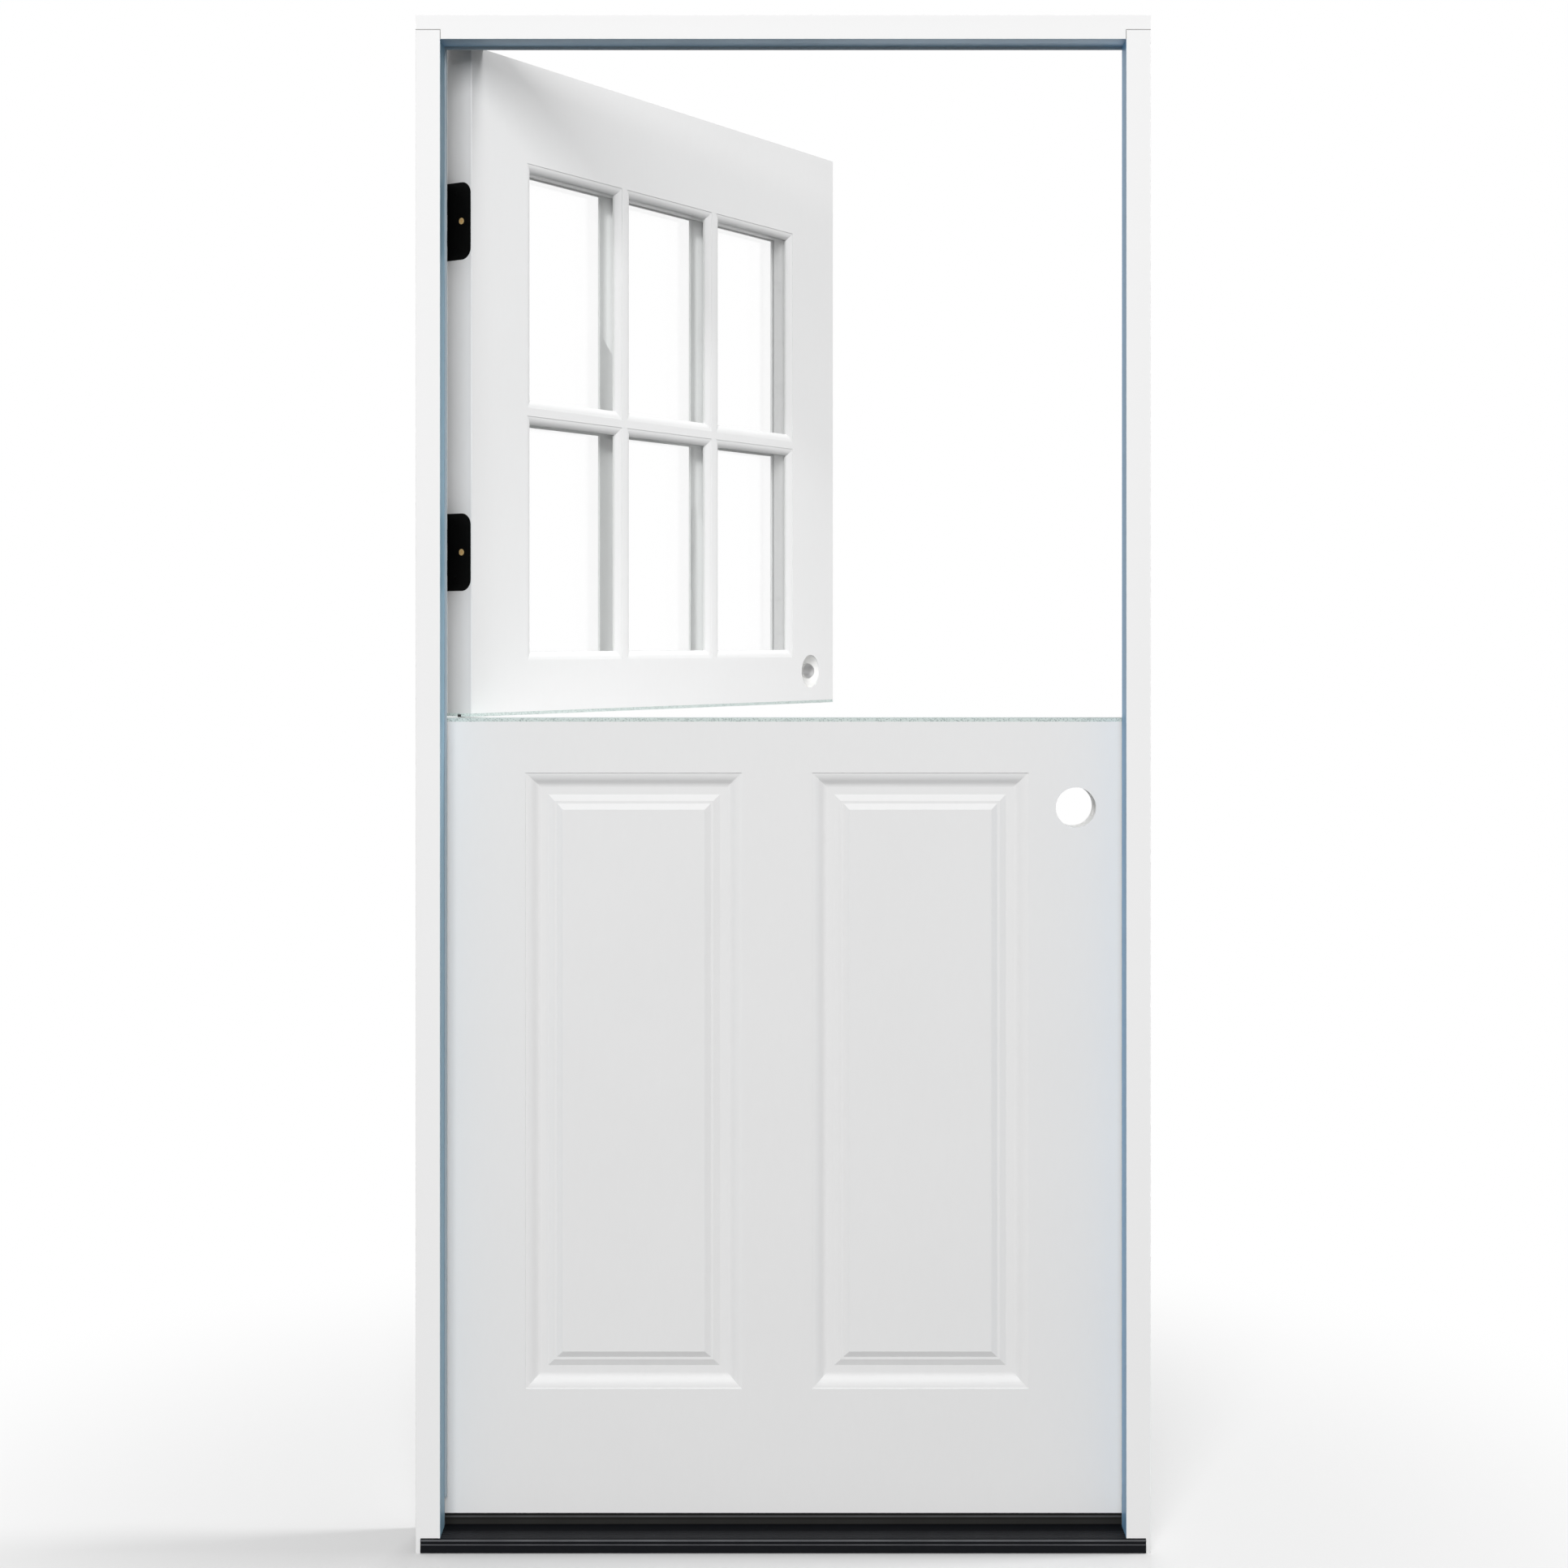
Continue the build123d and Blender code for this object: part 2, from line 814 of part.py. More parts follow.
def sunk_section(width):
    """Section of a panel's recess: quirk, ovolo and cove on each side, then the flat."""
    half = width / 2
    ovolo_end = (ovolo_width - half, ovolo_depth)
    cove_end = (ovolo_width + cove_width - half, panel_depth)
    with BuildSketch() as section:
        with BuildLine():
            Line((-half, -overshoot), (-half, panel_quirk))
            TangentArc((-half, panel_quirk), ovolo_end, tangent=(1, 0))
            TangentArc(cove_end, ovolo_end, tangent=(-1, 0))
            Line(cove_end, (0, panel_depth))
            mirror(about=Plane.YZ)
            Line((-half, -overshoot), (half, -overshoot))
        make_face()
    return section.sketch


def field_section(width):
    """Section of a panel's raised field: two slopes with a narrow flat between them."""
    foot = width / 2 - ovolo_width - cove_width - panel_flat
    step_out = foot - lower_slope
    step_in = step_out - field_step
    top = step_in - upper_slope
    under = panel_depth + overshoot
    with BuildSketch() as section:
        with BuildLine():
            Polyline(
                (0, under),
                (-foot, under),
                (-foot, panel_depth),
                (-step_out, field_step_depth),
                (-step_in, field_step_depth),
                (-top, field_depth),
                (0, field_depth),
            )
            mirror(about=Plane.YZ)
        make_face()
    return section.sketch


def panel_relief():
    """Everything that the panels take out of the outer face of the lower leaf."""
    with BuildPart() as relief:
        for centre_x in panel_centres():
            add(crossed(sunk_section, panel_width, panel_height, centre_x, panel_z))
        for centre_x in panel_centres():
            field = crossed(field_section, panel_width, panel_height, centre_x, panel_z)
            add(field, mode=Mode.SUBTRACT)
    return relief.part


def lower_skin(relief):
    """Moulded outer skin of even thickness that follows the panels front and back."""
    depth = panel_depth + skin_thickness
    back = leaf_front_y + depth
    with BuildPart() as hollow:
        add(block(-edge_x, edge_x, core_front_y, back, lower.bottom, lower.top))
        add(relief.moved(Location((0, skin_thickness, 0))), mode=Mode.SUBTRACT)
    with BuildPart() as skin:
        add(block(-edge_x, edge_x, leaf_front_y, back, lower.bottom, lower.top))
        add(relief, mode=Mode.SUBTRACT)
        add(hollow.part, mode=Mode.SUBTRACT)
        add(cross_bore(lock_x, lower.lock_z, lock_bore_diameter), mode=Mode.SUBTRACT)
    return skin.part


def inner_skin(leaf, outer_skin):
    """Inner skin: the outer one mirrored, and cut out at the hinges."""
    with BuildPart() as skin:
        add(mirror_through_leaf(outer_skin))
        for height in leaf.hinge_heights:
            add(hinge_mortise(1, height), mode=Mode.SUBTRACT)
    return skin.part


def lower_core(relief):
    """Foam core that fills the lower leaf between its skins, stiles and rails."""
    sunk = relief.moved(Location((0, skin_thickness, 0)))
    with BuildPart() as core:
        add(
            block(
                -inner_edge_x,
                inner_edge_x,
                core_front_y,
                core_back_y,
                lower.bottom + rail_height,
                lower.top - rail_height,
            )
        )
        add(sunk, mode=Mode.SUBTRACT)
        add(mirror_through_leaf(sunk), mode=Mode.SUBTRACT)
        add(
            block(
                lower.block_left_x,
                inner_edge_x + overshoot,
                core_front_y - overshoot,
                core_back_y + overshoot,
                lower.block_bottom,
                lower.block_top + overshoot,
            ),
            mode=Mode.SUBTRACT,
        )
    return core.part


def lower_meeting_cap():
    """Strip along the top edge of the lower leaf."""
    return block(
        -edge_x,
        edge_x,
        leaf_front_y,
        leaf_back_y,
        lower.top,
        lower.top + meeting_cap_thickness,
    )


def bottom_sweep():
    """Strip with fins under the lower leaf, just clear of the sill cap."""
    fin_bottom = sill_height + sweep_clearance
    sweep_depth = leaf_thickness - 2 * sweep_inset
    pitch = (sweep_depth - sweep_fin) / (sweep_fin_count - 1)
    with BuildPart() as sweep_strip:
        add(
            block(
                -edge_x,
                edge_x,
                leaf_middle_y - sweep_depth / 2,
                leaf_middle_y + sweep_depth / 2,
                lower.bottom - sweep_base,
                lower.bottom,
            )
        )
        for index in range(sweep_fin_count):
            fin_y = leaf_middle_y - sweep_depth / 2 + index * pitch
            add(
                block(
                    -edge_x, edge_x, fin_y, fin_y + sweep_fin, fin_bottom, lower.bottom - sweep_base
                )
            )
    return sweep_strip.part


# Upper leaf


def light_section(width):
    """Section of one light: quirk, ovolo sticking on each side, then straight through."""
    half = width / 2 + sticking_width
    glass_half = width / 2
    through = light_backing + gasket_thickness + overshoot
    with BuildSketch() as section:
        with BuildLine():
            Line((-half, -overshoot), (-half, sticking_quirk))
            TangentArc((-half, sticking_quirk), (-glass_half, sticking_depth), tangent=(1, 0))
            Polyline((-glass_half, sticking_depth), (-glass_half, through), (0, through))
            mirror(about=Plane.YZ)
            Line((-half, -overshoot), (half, -overshoot))
        make_face()
    return section.sketch


def light_openings():
    """The openings of all the lights."""
    with BuildPart() as openings:
        for column in range(light_columns):
            for row in range(light_rows):
                centre_x = lights_x + (column - (light_columns - 1) / 2) * column_pitch
                centre_z = lights_z + (row - (light_rows - 1) / 2) * row_pitch
                add(crossed(light_section, light_width, light_height, centre_x, centre_z))
    return openings.part


def lights_block(grow, y0, y1):
    """Rectangle round all the lights, grown by a margin."""
    half_width = lights_width / 2 + grow
    half_height = lights_height / 2 + grow
    return block(
        lights_x - half_width,
        lights_x + half_width,
        y0,
        y1,
        lights_z - half_height,
        lights_z + half_height,
    )


def upper_skin(openings):
    """Moulded outer skin in one piece with the sticking and bars of the lights."""
    with BuildPart() as skin:
        add(block(-edge_x, edge_x, leaf_front_y, core_front_y, upper.bottom, upper.top))
        add(lights_block(0, leaf_front_y, leaf_front_y + light_backing))
        add(openings, mode=Mode.SUBTRACT)
        add(cross_bore(lock_x, upper.lock_z, lock_bore_diameter), mode=Mode.SUBTRACT)
    return skin.part


def glass_unit_grow():
    """How far the glass reaches beyond the lights' outer rectangle, less than zero."""
    return glass_bite - sticking_width


def glazing_gasket(openings):
    """Thin gasket between the outer skin and the outer pane, behind every bar."""
    with BuildPart() as gasket:
        front = leaf_front_y + light_backing
        add(lights_block(glass_unit_grow(), front, front + gasket_thickness))
        add(openings, mode=Mode.SUBTRACT)
    return gasket.part


def glass_pane():
    """Outer pane of the sealed unit."""
    front = leaf_front_y + light_backing + gasket_thickness
    return lights_block(glass_unit_grow(), front, front + glass_thickness)


def glass_spacer():
    """Spacer frame between the two panes at their edges."""
    pane_back = light_backing + gasket_thickness + glass_thickness
    front = leaf_front_y + pane_back
    back = leaf_back_y - pane_back
    with BuildPart() as spacer:
        add(lights_block(glass_unit_grow(), front, back))
        add(
            lights_block(glass_unit_grow() - spacer_width, front - overshoot, back + overshoot),
            mode=Mode.SUBTRACT,
        )
    return spacer.part


def light_liner():
    """Frame inside the leaf round the opening for the glass."""
    with BuildPart() as liner:
        add(lights_block(liner_thickness, core_front_y, core_back_y))
        add(lights_block(0, core_front_y - overshoot, core_back_y + overshoot), mode=Mode.SUBTRACT)
    return liner.part


def upper_core():
    """Foam core round the liner of the lights."""
    with BuildPart() as core:
        add(
            block(
                -inner_edge_x,
                inner_edge_x,
                core_front_y,
                core_back_y,
                upper.bottom + rail_height,
                upper.top - rail_height,
            )
        )
        add(
            lights_block(liner_thickness, core_front_y - overshoot, core_back_y + overshoot),
            mode=Mode.SUBTRACT,
        )
        add(
            block(
                upper.block_left_x,
                inner_edge_x + overshoot,
                core_front_y - overshoot,
                core_back_y + overshoot,
                upper.block_bottom,
                upper.block_top,
            ),
            mode=Mode.SUBTRACT,
        )
    return core.part


def upper_meeting_cap():
    """Strip along the bottom edge of the upper leaf, grooved for the meeting seal."""
    foot = upper.bottom - meeting_cap_thickness
    with BuildPart() as cap:
        add(block(-edge_x, edge_x, leaf_front_y, leaf_back_y, foot, upper.bottom))
        add(
            block(
                -edge_x - overshoot,
                edge_x + overshoot,
                leaf_middle_y - meeting_seal_width / 2,
                leaf_middle_y + meeting_seal_width / 2,
                foot - overshoot,
                foot + meeting_seal_groove,
            ),
            mode=Mode.SUBTRACT,
        )
    return cap.part


def meeting_seal():
    """Seal in the groove, just clear of the lower leaf."""
    foot = upper.bottom - meeting_cap_thickness
    with BuildPart() as seal:
        add(
            block(
                -edge_x,
                edge_x,
                leaf_middle_y - meeting_seal_width / 2,
                leaf_middle_y + meeting_seal_width / 2,
                foot - meeting_seal_reach,
                foot + meeting_seal_groove,
            )
        )
        fillet(seal.edges().group_by(Axis.Z)[0].filter_by(Axis.X), meeting_seal_round)
    return seal.part


# Writing the pieces


def save(name, part):
    """Label a finished piece and write it."""
    part.label = name
    export_step(part, f"parts/{name}.step")


def save_frame():
    """Write the frame, the sill and what is fixed to them."""
    save("hinge_jamb", hinge_jamb())
    save("strike_jamb", strike_jamb())
    save("head_jamb", head_jamb())
    save("hinge_weatherstrip", side_weatherstrip(-1, -hinge_seal_proud))
    save("strike_weatherstrip", side_weatherstrip(1, seal_inset))
    save("head_weatherstrip", head_weatherstrip())
    save("corner_pads", corner_pads())
    save("head_screws", head_screws())
    save("sill_screws", sill_screws())
    save("sill_base", sill_base())
    save("sill_tread", sill_tread())
    save("sill_cap", sill_cap())
    save("sill_cap_screws", cap_screws())
    save("frame_hinge_screws", frame_hinge_screws())


def save_hinges(leaf, leaf_name, place):
    """Write both hinges of a leaf: the frame's halves and pins, then the leaf's halves."""
    for height, position in zip(leaf.hinge_heights, ("bottom", "top")):
        save(f"{leaf_name}_{position}_hinge_frame_half", hinge_half(-1, height))
        save(f"{leaf_name}_{position}_hinge_pin", hinge_pin(height))
        save(f"{leaf_name}_{position}_hinge_leaf_half", place(hinge_half(1, height)))
    save(f"{leaf_name}_hinge_screws", place(leaf_outer_screws(leaf)))
    save(f"{leaf_name}_hinge_middle_screws", place(leaf_middle_screws(leaf)))


def save_slab(leaf, leaf_name, outer_skin, place):
    """Write the skins, stiles, top rail and lock block of a leaf."""
    save(f"{leaf_name}_outer_skin", place(outer_skin))
    save(f"{leaf_name}_inner_skin", place(inner_skin(leaf, outer_skin)))
    save(f"{leaf_name}_hinge_stile", place(hinge_stile(leaf)))
    save(f"{leaf_name}_lock_stile", place(lock_stile(leaf)))
    save(f"{leaf_name}_lock_block", place(lock_block(leaf)))
    save(f"{leaf_name}_top_rail", place(rail(inner_edge_x, leaf.top - rail_height)))


def save_lower_leaf():
    """Write the lower leaf, which stands closed."""
    relief = panel_relief()
    save_slab(lower, "lower", lower_skin(relief), place=lambda part: part)
    save("lower_bottom_rail", rail(inner_edge_x, lower.bottom))
    save("lower_core", lower_core(relief))
    save("lower_meeting_cap", lower_meeting_cap())
    save("bottom_sweep", bottom_sweep())
    save_hinges(lower, "lower", place=lambda part: part)


def save_upper_leaf():
    """Write the upper leaf, which stands open."""
    openings = light_openings()
    gasket = glazing_gasket(openings)
    pane = glass_pane()
    save_slab(upper, "upper", upper_skin(openings), place=swing)
    save("upper_bottom_rail", swing(rail(upper.block_left_x, upper.bottom)))
    save("upper_core", swing(upper_core()))
    save("light_liner", swing(light_liner()))
    save("outer_gasket", swing(gasket))
    save("inner_gasket", swing(mirror_through_leaf(gasket)))
    save("outer_glass", swing(pane))
    save("inner_glass", swing(mirror_through_leaf(pane)))
    save("glass_spacer", swing(glass_spacer()))
    save("upper_meeting_cap", swing(upper_meeting_cap()))
    save("meeting_seal", swing(meeting_seal()))
    save_hinges(upper, "upper", place=swing)


os.makedirs("parts", exist_ok=True)
save_frame()
save_lower_leaf()
save_upper_leaf()
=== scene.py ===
"""Dutch stable door: finishes, screws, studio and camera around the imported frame."""

from __future__ import annotations

import logging
import math
from collections.abc import Iterable
from dataclasses import dataclass, field
from enum import Enum

import bpy
from mathutils import Matrix, Quaternion, Vector


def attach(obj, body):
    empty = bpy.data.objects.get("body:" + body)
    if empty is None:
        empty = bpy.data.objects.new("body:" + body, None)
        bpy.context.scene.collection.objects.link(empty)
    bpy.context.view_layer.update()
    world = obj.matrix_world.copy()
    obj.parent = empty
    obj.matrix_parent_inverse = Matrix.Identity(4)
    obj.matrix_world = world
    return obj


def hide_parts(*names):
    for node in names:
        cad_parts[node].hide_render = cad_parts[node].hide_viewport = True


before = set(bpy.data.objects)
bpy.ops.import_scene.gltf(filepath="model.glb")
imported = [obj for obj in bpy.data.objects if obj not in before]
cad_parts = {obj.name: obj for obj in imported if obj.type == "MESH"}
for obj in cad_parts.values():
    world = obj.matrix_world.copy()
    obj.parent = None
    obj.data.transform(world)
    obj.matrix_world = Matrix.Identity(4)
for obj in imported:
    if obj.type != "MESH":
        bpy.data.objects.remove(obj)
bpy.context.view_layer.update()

logging.basicConfig(level=logging.INFO, format="%(name)s: %(message)s")
log = logging.getLogger("stable_door")

MM = 0.001
IMAGE_SIDE = 1932
SMOOTH_ANGLE = math.radians(30.0)
NO_COLOUR = (0.0, 0.0, 0.0)
WHITE = (1.0, 1.0, 1.0)

Colour = tuple[float, float, float]


class Body(str, Enum):
    """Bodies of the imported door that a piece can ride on."""

    FRAME = "frame"
    LOWER = "lower_leaf"
    UPPER = "upper_leaf"


class NodeBoard:
    """A node tree that is filled in code, for a material or for a group."""

    def __init__(self, tree: bpy.types.NodeTree) -> None:
        """Keep the tree and empty it.

        Args:
            tree: The node tree of a material, a world or a group.
        """
        self.tree = tree
        tree.nodes.clear()

    def add(self, kind: str, inputs: dict | None = None, **settings: object) -> bpy.types.Node:
        """Add a node.

        Args:
            kind: The node's type name.
            inputs: Values or sockets by input name or number.
            settings: Properties of the node itself.

        Returns:
            The new node.
        """
        node = self.tree.nodes.new(kind)
        for name, value in settings.items():
            setattr(node, name, value)
        for key, value in (inputs or {}).items():
            self.feed(node.inputs[key], value)
        return node

    def feed(self, target: bpy.types.NodeSocket, value: object) -> None:
        """Link a socket to an input, or set the input's value."""
        if isinstance(value, bpy.types.NodeSocket):
            self.tree.links.new(value, target)
        elif target.type == "RGBA" and len(value) == 3:
            target.default_value = (*value, 1.0)
        else:
            target.default_value = value

    def math(self, operation: str, *values: object) -> bpy.types.NodeSocket:
        """Add a Math node and return its result."""
        node = self.add("ShaderNodeMath", operation=operation)
        for socket, value in zip(node.inputs, values):
            self.feed(socket, value)
        return node.outputs[0]

    def mix(self, factor: object, low: object, high: object) -> bpy.types.NodeSocket:
        """Mix two colours and return the result."""
        node = self.add("ShaderNodeMix", data_type="RGBA")
        for key, value in ((0, factor), (6, low), (7, high)):
            self.feed(node.inputs[key], value)
        return node.outputs[2]

    def remap(
        self, value: object, low: float, high: float, to_low: float = 0.0
    ) -> bpy.types.NodeSocket:
        """Map a range of values smoothly onto one that ends at 1 and return the result."""
        node = self.add("ShaderNodeMapRange", interpolation_type="SMOOTHSTEP")
        for socket, entry in zip(node.inputs, (value, low, high, to_low, 1.0)):
            self.feed(socket, entry)
        return node.outputs[0]

    def noise(self, place: object, scale: float, detail: float = 3.0) -> bpy.types.NodeSocket:
        """Add a noise texture and return its value."""
        inputs = {"Vector": place, "Scale": scale, "Detail": detail}
        return self.add("ShaderNodeTexNoise", inputs).outputs["Fac"]

    def stretch(self, place: object, scale: Iterable[float]) -> bpy.types.NodeSocket:
        """Scale a place differently along each axis."""
        return self.add("ShaderNodeMapping", {"Vector": place, "Scale": tuple(scale)}).outputs[0]

    def seen(self) -> bpy.types.NodeSocket:
        """Mask of the rays that show a surface: to the camera, through glass or in a gloss."""
        path = self.add("ShaderNodeLightPath").outputs
        direct = self.math("MAXIMUM", path["Is Camera Ray"], path["Is Transmission Ray"])
        return self.math("MAXIMUM", direct, path["Is Glossy Ray"])


class SocketKind(Enum):
    """Kinds of socket that the shader groups use."""

    VALUE = "NodeSocketFloat"
    COLOUR = "NodeSocketColor"
    VECTOR = "NodeSocketVector"


class ShaderGroup:
    """A shader node group with named inputs and outputs, built once."""

    def __init__(
        self, name: str, inputs: dict[str, SocketKind], outputs: dict[str, SocketKind]
    ) -> None:
        """Make the group and its sockets.

        Args:
            name: Name of the group.
            inputs: Kind of each input by name.
            outputs: Kind of each output by name.
        """
        tree = bpy.data.node_groups.new(name, "ShaderNodeTree")
        for sockets, way in ((inputs, "INPUT"), (outputs, "OUTPUT")):
            for socket_name, kind in sockets.items():
                tree.interface.new_socket(socket_name, in_out=way, socket_type=kind.value)
        self.tree = tree
        self.board = NodeBoard(tree)
        self.given = self.board.add("NodeGroupInput").outputs
        self.result = self.board.add("NodeGroupOutput").inputs

    def place(self, board: NodeBoard, inputs: dict) -> bpy.types.NodeOutputs:
        """Place the group in a material.

        Args:
            board: The material's node board.
            inputs: Values or sockets by input name.

        Returns:
            The outputs of the placed group.
        """
        node = board.add("ShaderNodeGroup", node_tree=self.tree)
        for name, value in inputs.items():
            board.feed(node.inputs[name], value)
        return node.outputs


class EffectKit:
    """The shader groups that the finishes share."""

    def __init__(self) -> None:
        """Build every group."""
        self.paint = self._paint_film()
        self.grain = self._wood_grain()
        self.drawn = self._drawn_metal()
        self.speckle = self._speckle()
        self.ridge = self._painted_highlight_mask()

    @staticmethod
    def _paint_film() -> ShaderGroup:
        """Sprayed paint: broad tone shifts, fine peel and a little change in gloss."""
        value, colour, vector = SocketKind.VALUE, SocketKind.COLOUR, SocketKind.VECTOR
        group = ShaderGroup(
            "paint_film",
            {"Place": vector, "Colour": colour, "Mottle": value, "Gloss": value},
            {"Colour": colour, "Roughness": value, "Height": value},
        )
        board, given = group.board, group.given
        fibre_share, mean_tone, gloss_change, fibre_height = 0.6, 0.8, 0.12, 0.5
        broad = board.noise(given["Place"], scale=5.0, detail=2.0)
        along = board.stretch(given["Place"], (1.0, 1.0, 0.35))
        fibre = board.noise(along, scale=140.0, detail=4.0)
        tone = board.math("ADD", broad, board.math("MULTIPLY", fibre, fibre_share))
        shift = board.math("MULTIPLY", board.math("SUBTRACT", tone, mean_tone), given["Mottle"])
        hsv = board.add(
            "ShaderNodeHueSaturation",
            {"Color": given["Colour"], "Value": board.math("ADD", shift, 1.0)},
        )
        peel = board.noise(given["Place"], scale=420.0, detail=2.0)
        gloss_shift = board.math("MULTIPLY", board.math("SUBTRACT", peel, 0.5), gloss_change)
        height = board.math("ADD", peel, board.math("MULTIPLY", fibre, fibre_height))
        board.feed(group.result["Colour"], hsv.outputs[0])
        board.feed(group.result["Roughness"], board.math("ADD", given["Gloss"], gloss_shift))
        board.feed(group.result["Height"], height)
        return group

    @staticmethod
    def _wood_grain() -> ShaderGroup:
        """Straight grain along Z: growth bands, pores and a fine height."""
        value, colour, vector = SocketKind.VALUE, SocketKind.COLOUR, SocketKind.VECTOR
        group = ShaderGroup(
            "wood_grain",
            {"Place": vector, "Early Wood": colour, "Late Wood": colour, "Contrast": value},
            {"Colour": colour, "Height": value},
        )
        board, given = group.board, group.given
        pore_share = 0.3
        along = board.stretch(given["Place"], (1.0, 1.0, 0.05))
        bands = board.noise(along, scale=70.0, detail=5.0)
        fine = board.stretch(given["Place"], (1.0, 1.0, 0.02))
        pores = board.noise(fine, scale=600.0, detail=2.0)
        rings = board.math("ADD", bands, board.math("MULTIPLY", pores, pore_share))
        weight = board.math("MULTIPLY", board.remap(rings, low=0.45, high=0.85), given["Contrast"])
        colour = board.mix(weight, given["Early Wood"], given["Late Wood"])
        board.feed(group.result["Colour"], colour)
        board.feed(group.result["Height"], board.math("ADD", bands, pores))
        return group

    @staticmethod
    def _drawn_metal() -> ShaderGroup:
        """Die lines of an extrusion, which run along X, with faint rub marks."""
        value, colour, vector = SocketKind.VALUE, SocketKind.COLOUR, SocketKind.VECTOR
        group = ShaderGroup(
            "drawn_metal",
            {"Place": vector, "Colour": colour, "Rub Colour": colour, "Gloss": value},
            {"Colour": colour, "Roughness": value, "Height": value},
        )
        board, given = group.board, group.given
        rub_weight, line_roughness = 0.5, 0.14
        drawn = board.stretch(given["Place"], (0.01, 1.0, 1.0))
        lines = board.noise(drawn, scale=1500.0, detail=3.0)
        rubbed = board.stretch(given["Place"], (0.25, 1.0, 1.0))
        rubs = board.remap(board.noise(rubbed, scale=45.0, detail=5.0), low=0.55, high=0.8)
        rub_mask = board.math("MULTIPLY", rubs, rub_weight)
        colour = board.mix(rub_mask, given["Colour"], given["Rub Colour"])
        rough = board.math("ADD", given["Gloss"], board.math("MULTIPLY", lines, line_roughness))
        board.feed(group.result["Colour"], colour)
        board.feed(group.result["Roughness"], rough)
        board.feed(group.result["Height"], lines)
        return group

    @staticmethod
    def _speckle() -> ShaderGroup:
        """Pits and flecks of foam, rubber and composite."""
        value, colour, vector = SocketKind.VALUE, SocketKind.COLOUR, SocketKind.VECTOR
        group = ShaderGroup(
            "speckle",
            {"Place": vector, "Ground": colour, "Fleck": colour, "Size": value, "Amount": value},
            {"Colour": colour, "Height": value},
        )
        board, given = group.board, group.given
        cloud_share = 0.35
        cells = board.add(
            "ShaderNodeTexVoronoi", {"Vector": given["Place"], "Scale": given["Size"]}
        ).outputs
        cloud = board.noise(given["Place"], scale=90.0, detail=4.0)
        ragged = board.math("MULTIPLY", cloud, cloud_share)
        near = board.math("SUBTRACT", cells["Distance"], ragged)
        mask = board.math("MULTIPLY", board.remap(near, low=0.35, high=0.05), given["Amount"])
        board.feed(group.result["Colour"], board.mix(mask, given["Ground"], given["Fleck"]))
        board.feed(group.result["Height"], board.math("SUBTRACT", cloud, mask))
        return group

    @staticmethod
    def _painted_highlight_mask() -> ShaderGroup:
        """Mask of a painted highlight along an edge that runs along X, broken up in patches along
        X.
        """
        value, vector = SocketKind.VALUE, SocketKind.VECTOR
        group = ShaderGroup(
            "painted_highlight_mask",
            {"Place": vector, "Edge Y": value, "Edge Z": value, "Reach": value, "Highlight Strength": value},
            {"Mask": value},
        )
        board, given = group.board, group.given
        split = board.add("ShaderNodeSeparateXYZ", {0: given["Place"]}).outputs
        aside = board.math("SUBTRACT", split[1], given["Edge Y"])
        above = board.math("SUBTRACT", split[2], given["Edge Z"])
        aside, above = (board.math("POWER", offset, 2.0) for offset in (aside, above))
        square = board.math("ADD", aside, above)
        share = board.math("DIVIDE", board.math("SQRT", square), given["Reach"])
        band = board.remap(share, low=1.0, high=0.4)
        along = board.stretch(given["Place"], (1.0, 0.0, 0.0))
        rubs = board.remap(board.noise(along, scale=14.0, detail=4.0), 0.2, 0.7, to_low=0.6)
        # Painted highlight strength, broken up in patches.
        highlight_share = board.math("MULTIPLY", rubs, given["Highlight Strength"])
        board.feed(group.result["Mask"], board.math("MULTIPLY", band, highlight_share))
        return group


@dataclass(frozen=True)
class Finish:
    """A finish with its plain shader values. The kinds below add what varies over the surface."""

    name: str
    colour: Colour
    roughness: float = 0.5
    metallic: float = 0.0
    specular: float = 0.5
    bump: float = 0.1
    bump_depth: float = 0.1 * MM

    def build(self, kit: EffectKit) -> bpy.types.Material:
        """Make the material.

        Args:
            kit: The shared shader groups.

        Returns:
            The finished material.
        """
        material = bpy.data.materials.new(self.name)
        material.use_nodes = True
        board = NodeBoard(material.node_tree)
        place = board.add("ShaderNodeTexCoord").outputs["Object"]
        surface = self.surface(board, kit, place)
        height = surface.pop("Height", None)
        shader = board.add(
            "ShaderNodeBsdfPrincipled",
            {
                "Base Color": self.colour,
                "Roughness": self.roughness,
                "Metallic": self.metallic,
                "Specular IOR Level": self.specular,
                **surface,
            },
        )
        if height is not None:
            bump = board.add(
                "ShaderNodeBump",
                {"Strength": self.bump, "Distance": self.bump_depth, "Height": height},
            )
            board.feed(shader.inputs["Normal"], bump.outputs[0])
        output = board.add("ShaderNodeOutputMaterial")
        board.feed(output.inputs["Surface"], self.cover(board, shader.outputs[0]))
        material.diffuse_color = (*self.colour, 1.0)
        return material

    def surface(self, board: NodeBoard, kit: EffectKit, place: bpy.types.NodeSocket) -> dict:
        """Sockets of what varies over the surface, by shader input name or Height."""
        return {"Height": board.noise(place, scale=500.0)}

    def cover(self, board: NodeBoard, shader: bpy.types.NodeSocket) -> bpy.types.NodeSocket:
        """What is laid over the shader before the material's output."""
        return shader


@dataclass(frozen=True)
class PaintFinish(Finish):
    """Sprayed primer or paint."""

    mottle: float = 0.03

    def surface(self, board: NodeBoard, kit: EffectKit, place: bpy.types.NodeSocket) -> dict:
        """Sockets of the paint film."""
        film = kit.paint.place(
            board,
            {
                "Place": place,
                "Colour": self.tint(board, place),
                "Mottle": self.mottle,
                "Gloss": self.roughness,
            },
        )
        return {
            "Base Color": film["Colour"],
            "Roughness": film["Roughness"],
            "Height": film["Height"],
        }

    def tint(self, board: NodeBoard, place: bpy.types.NodeSocket) -> object:
        """Colour that goes into the paint film."""
        return self.colour


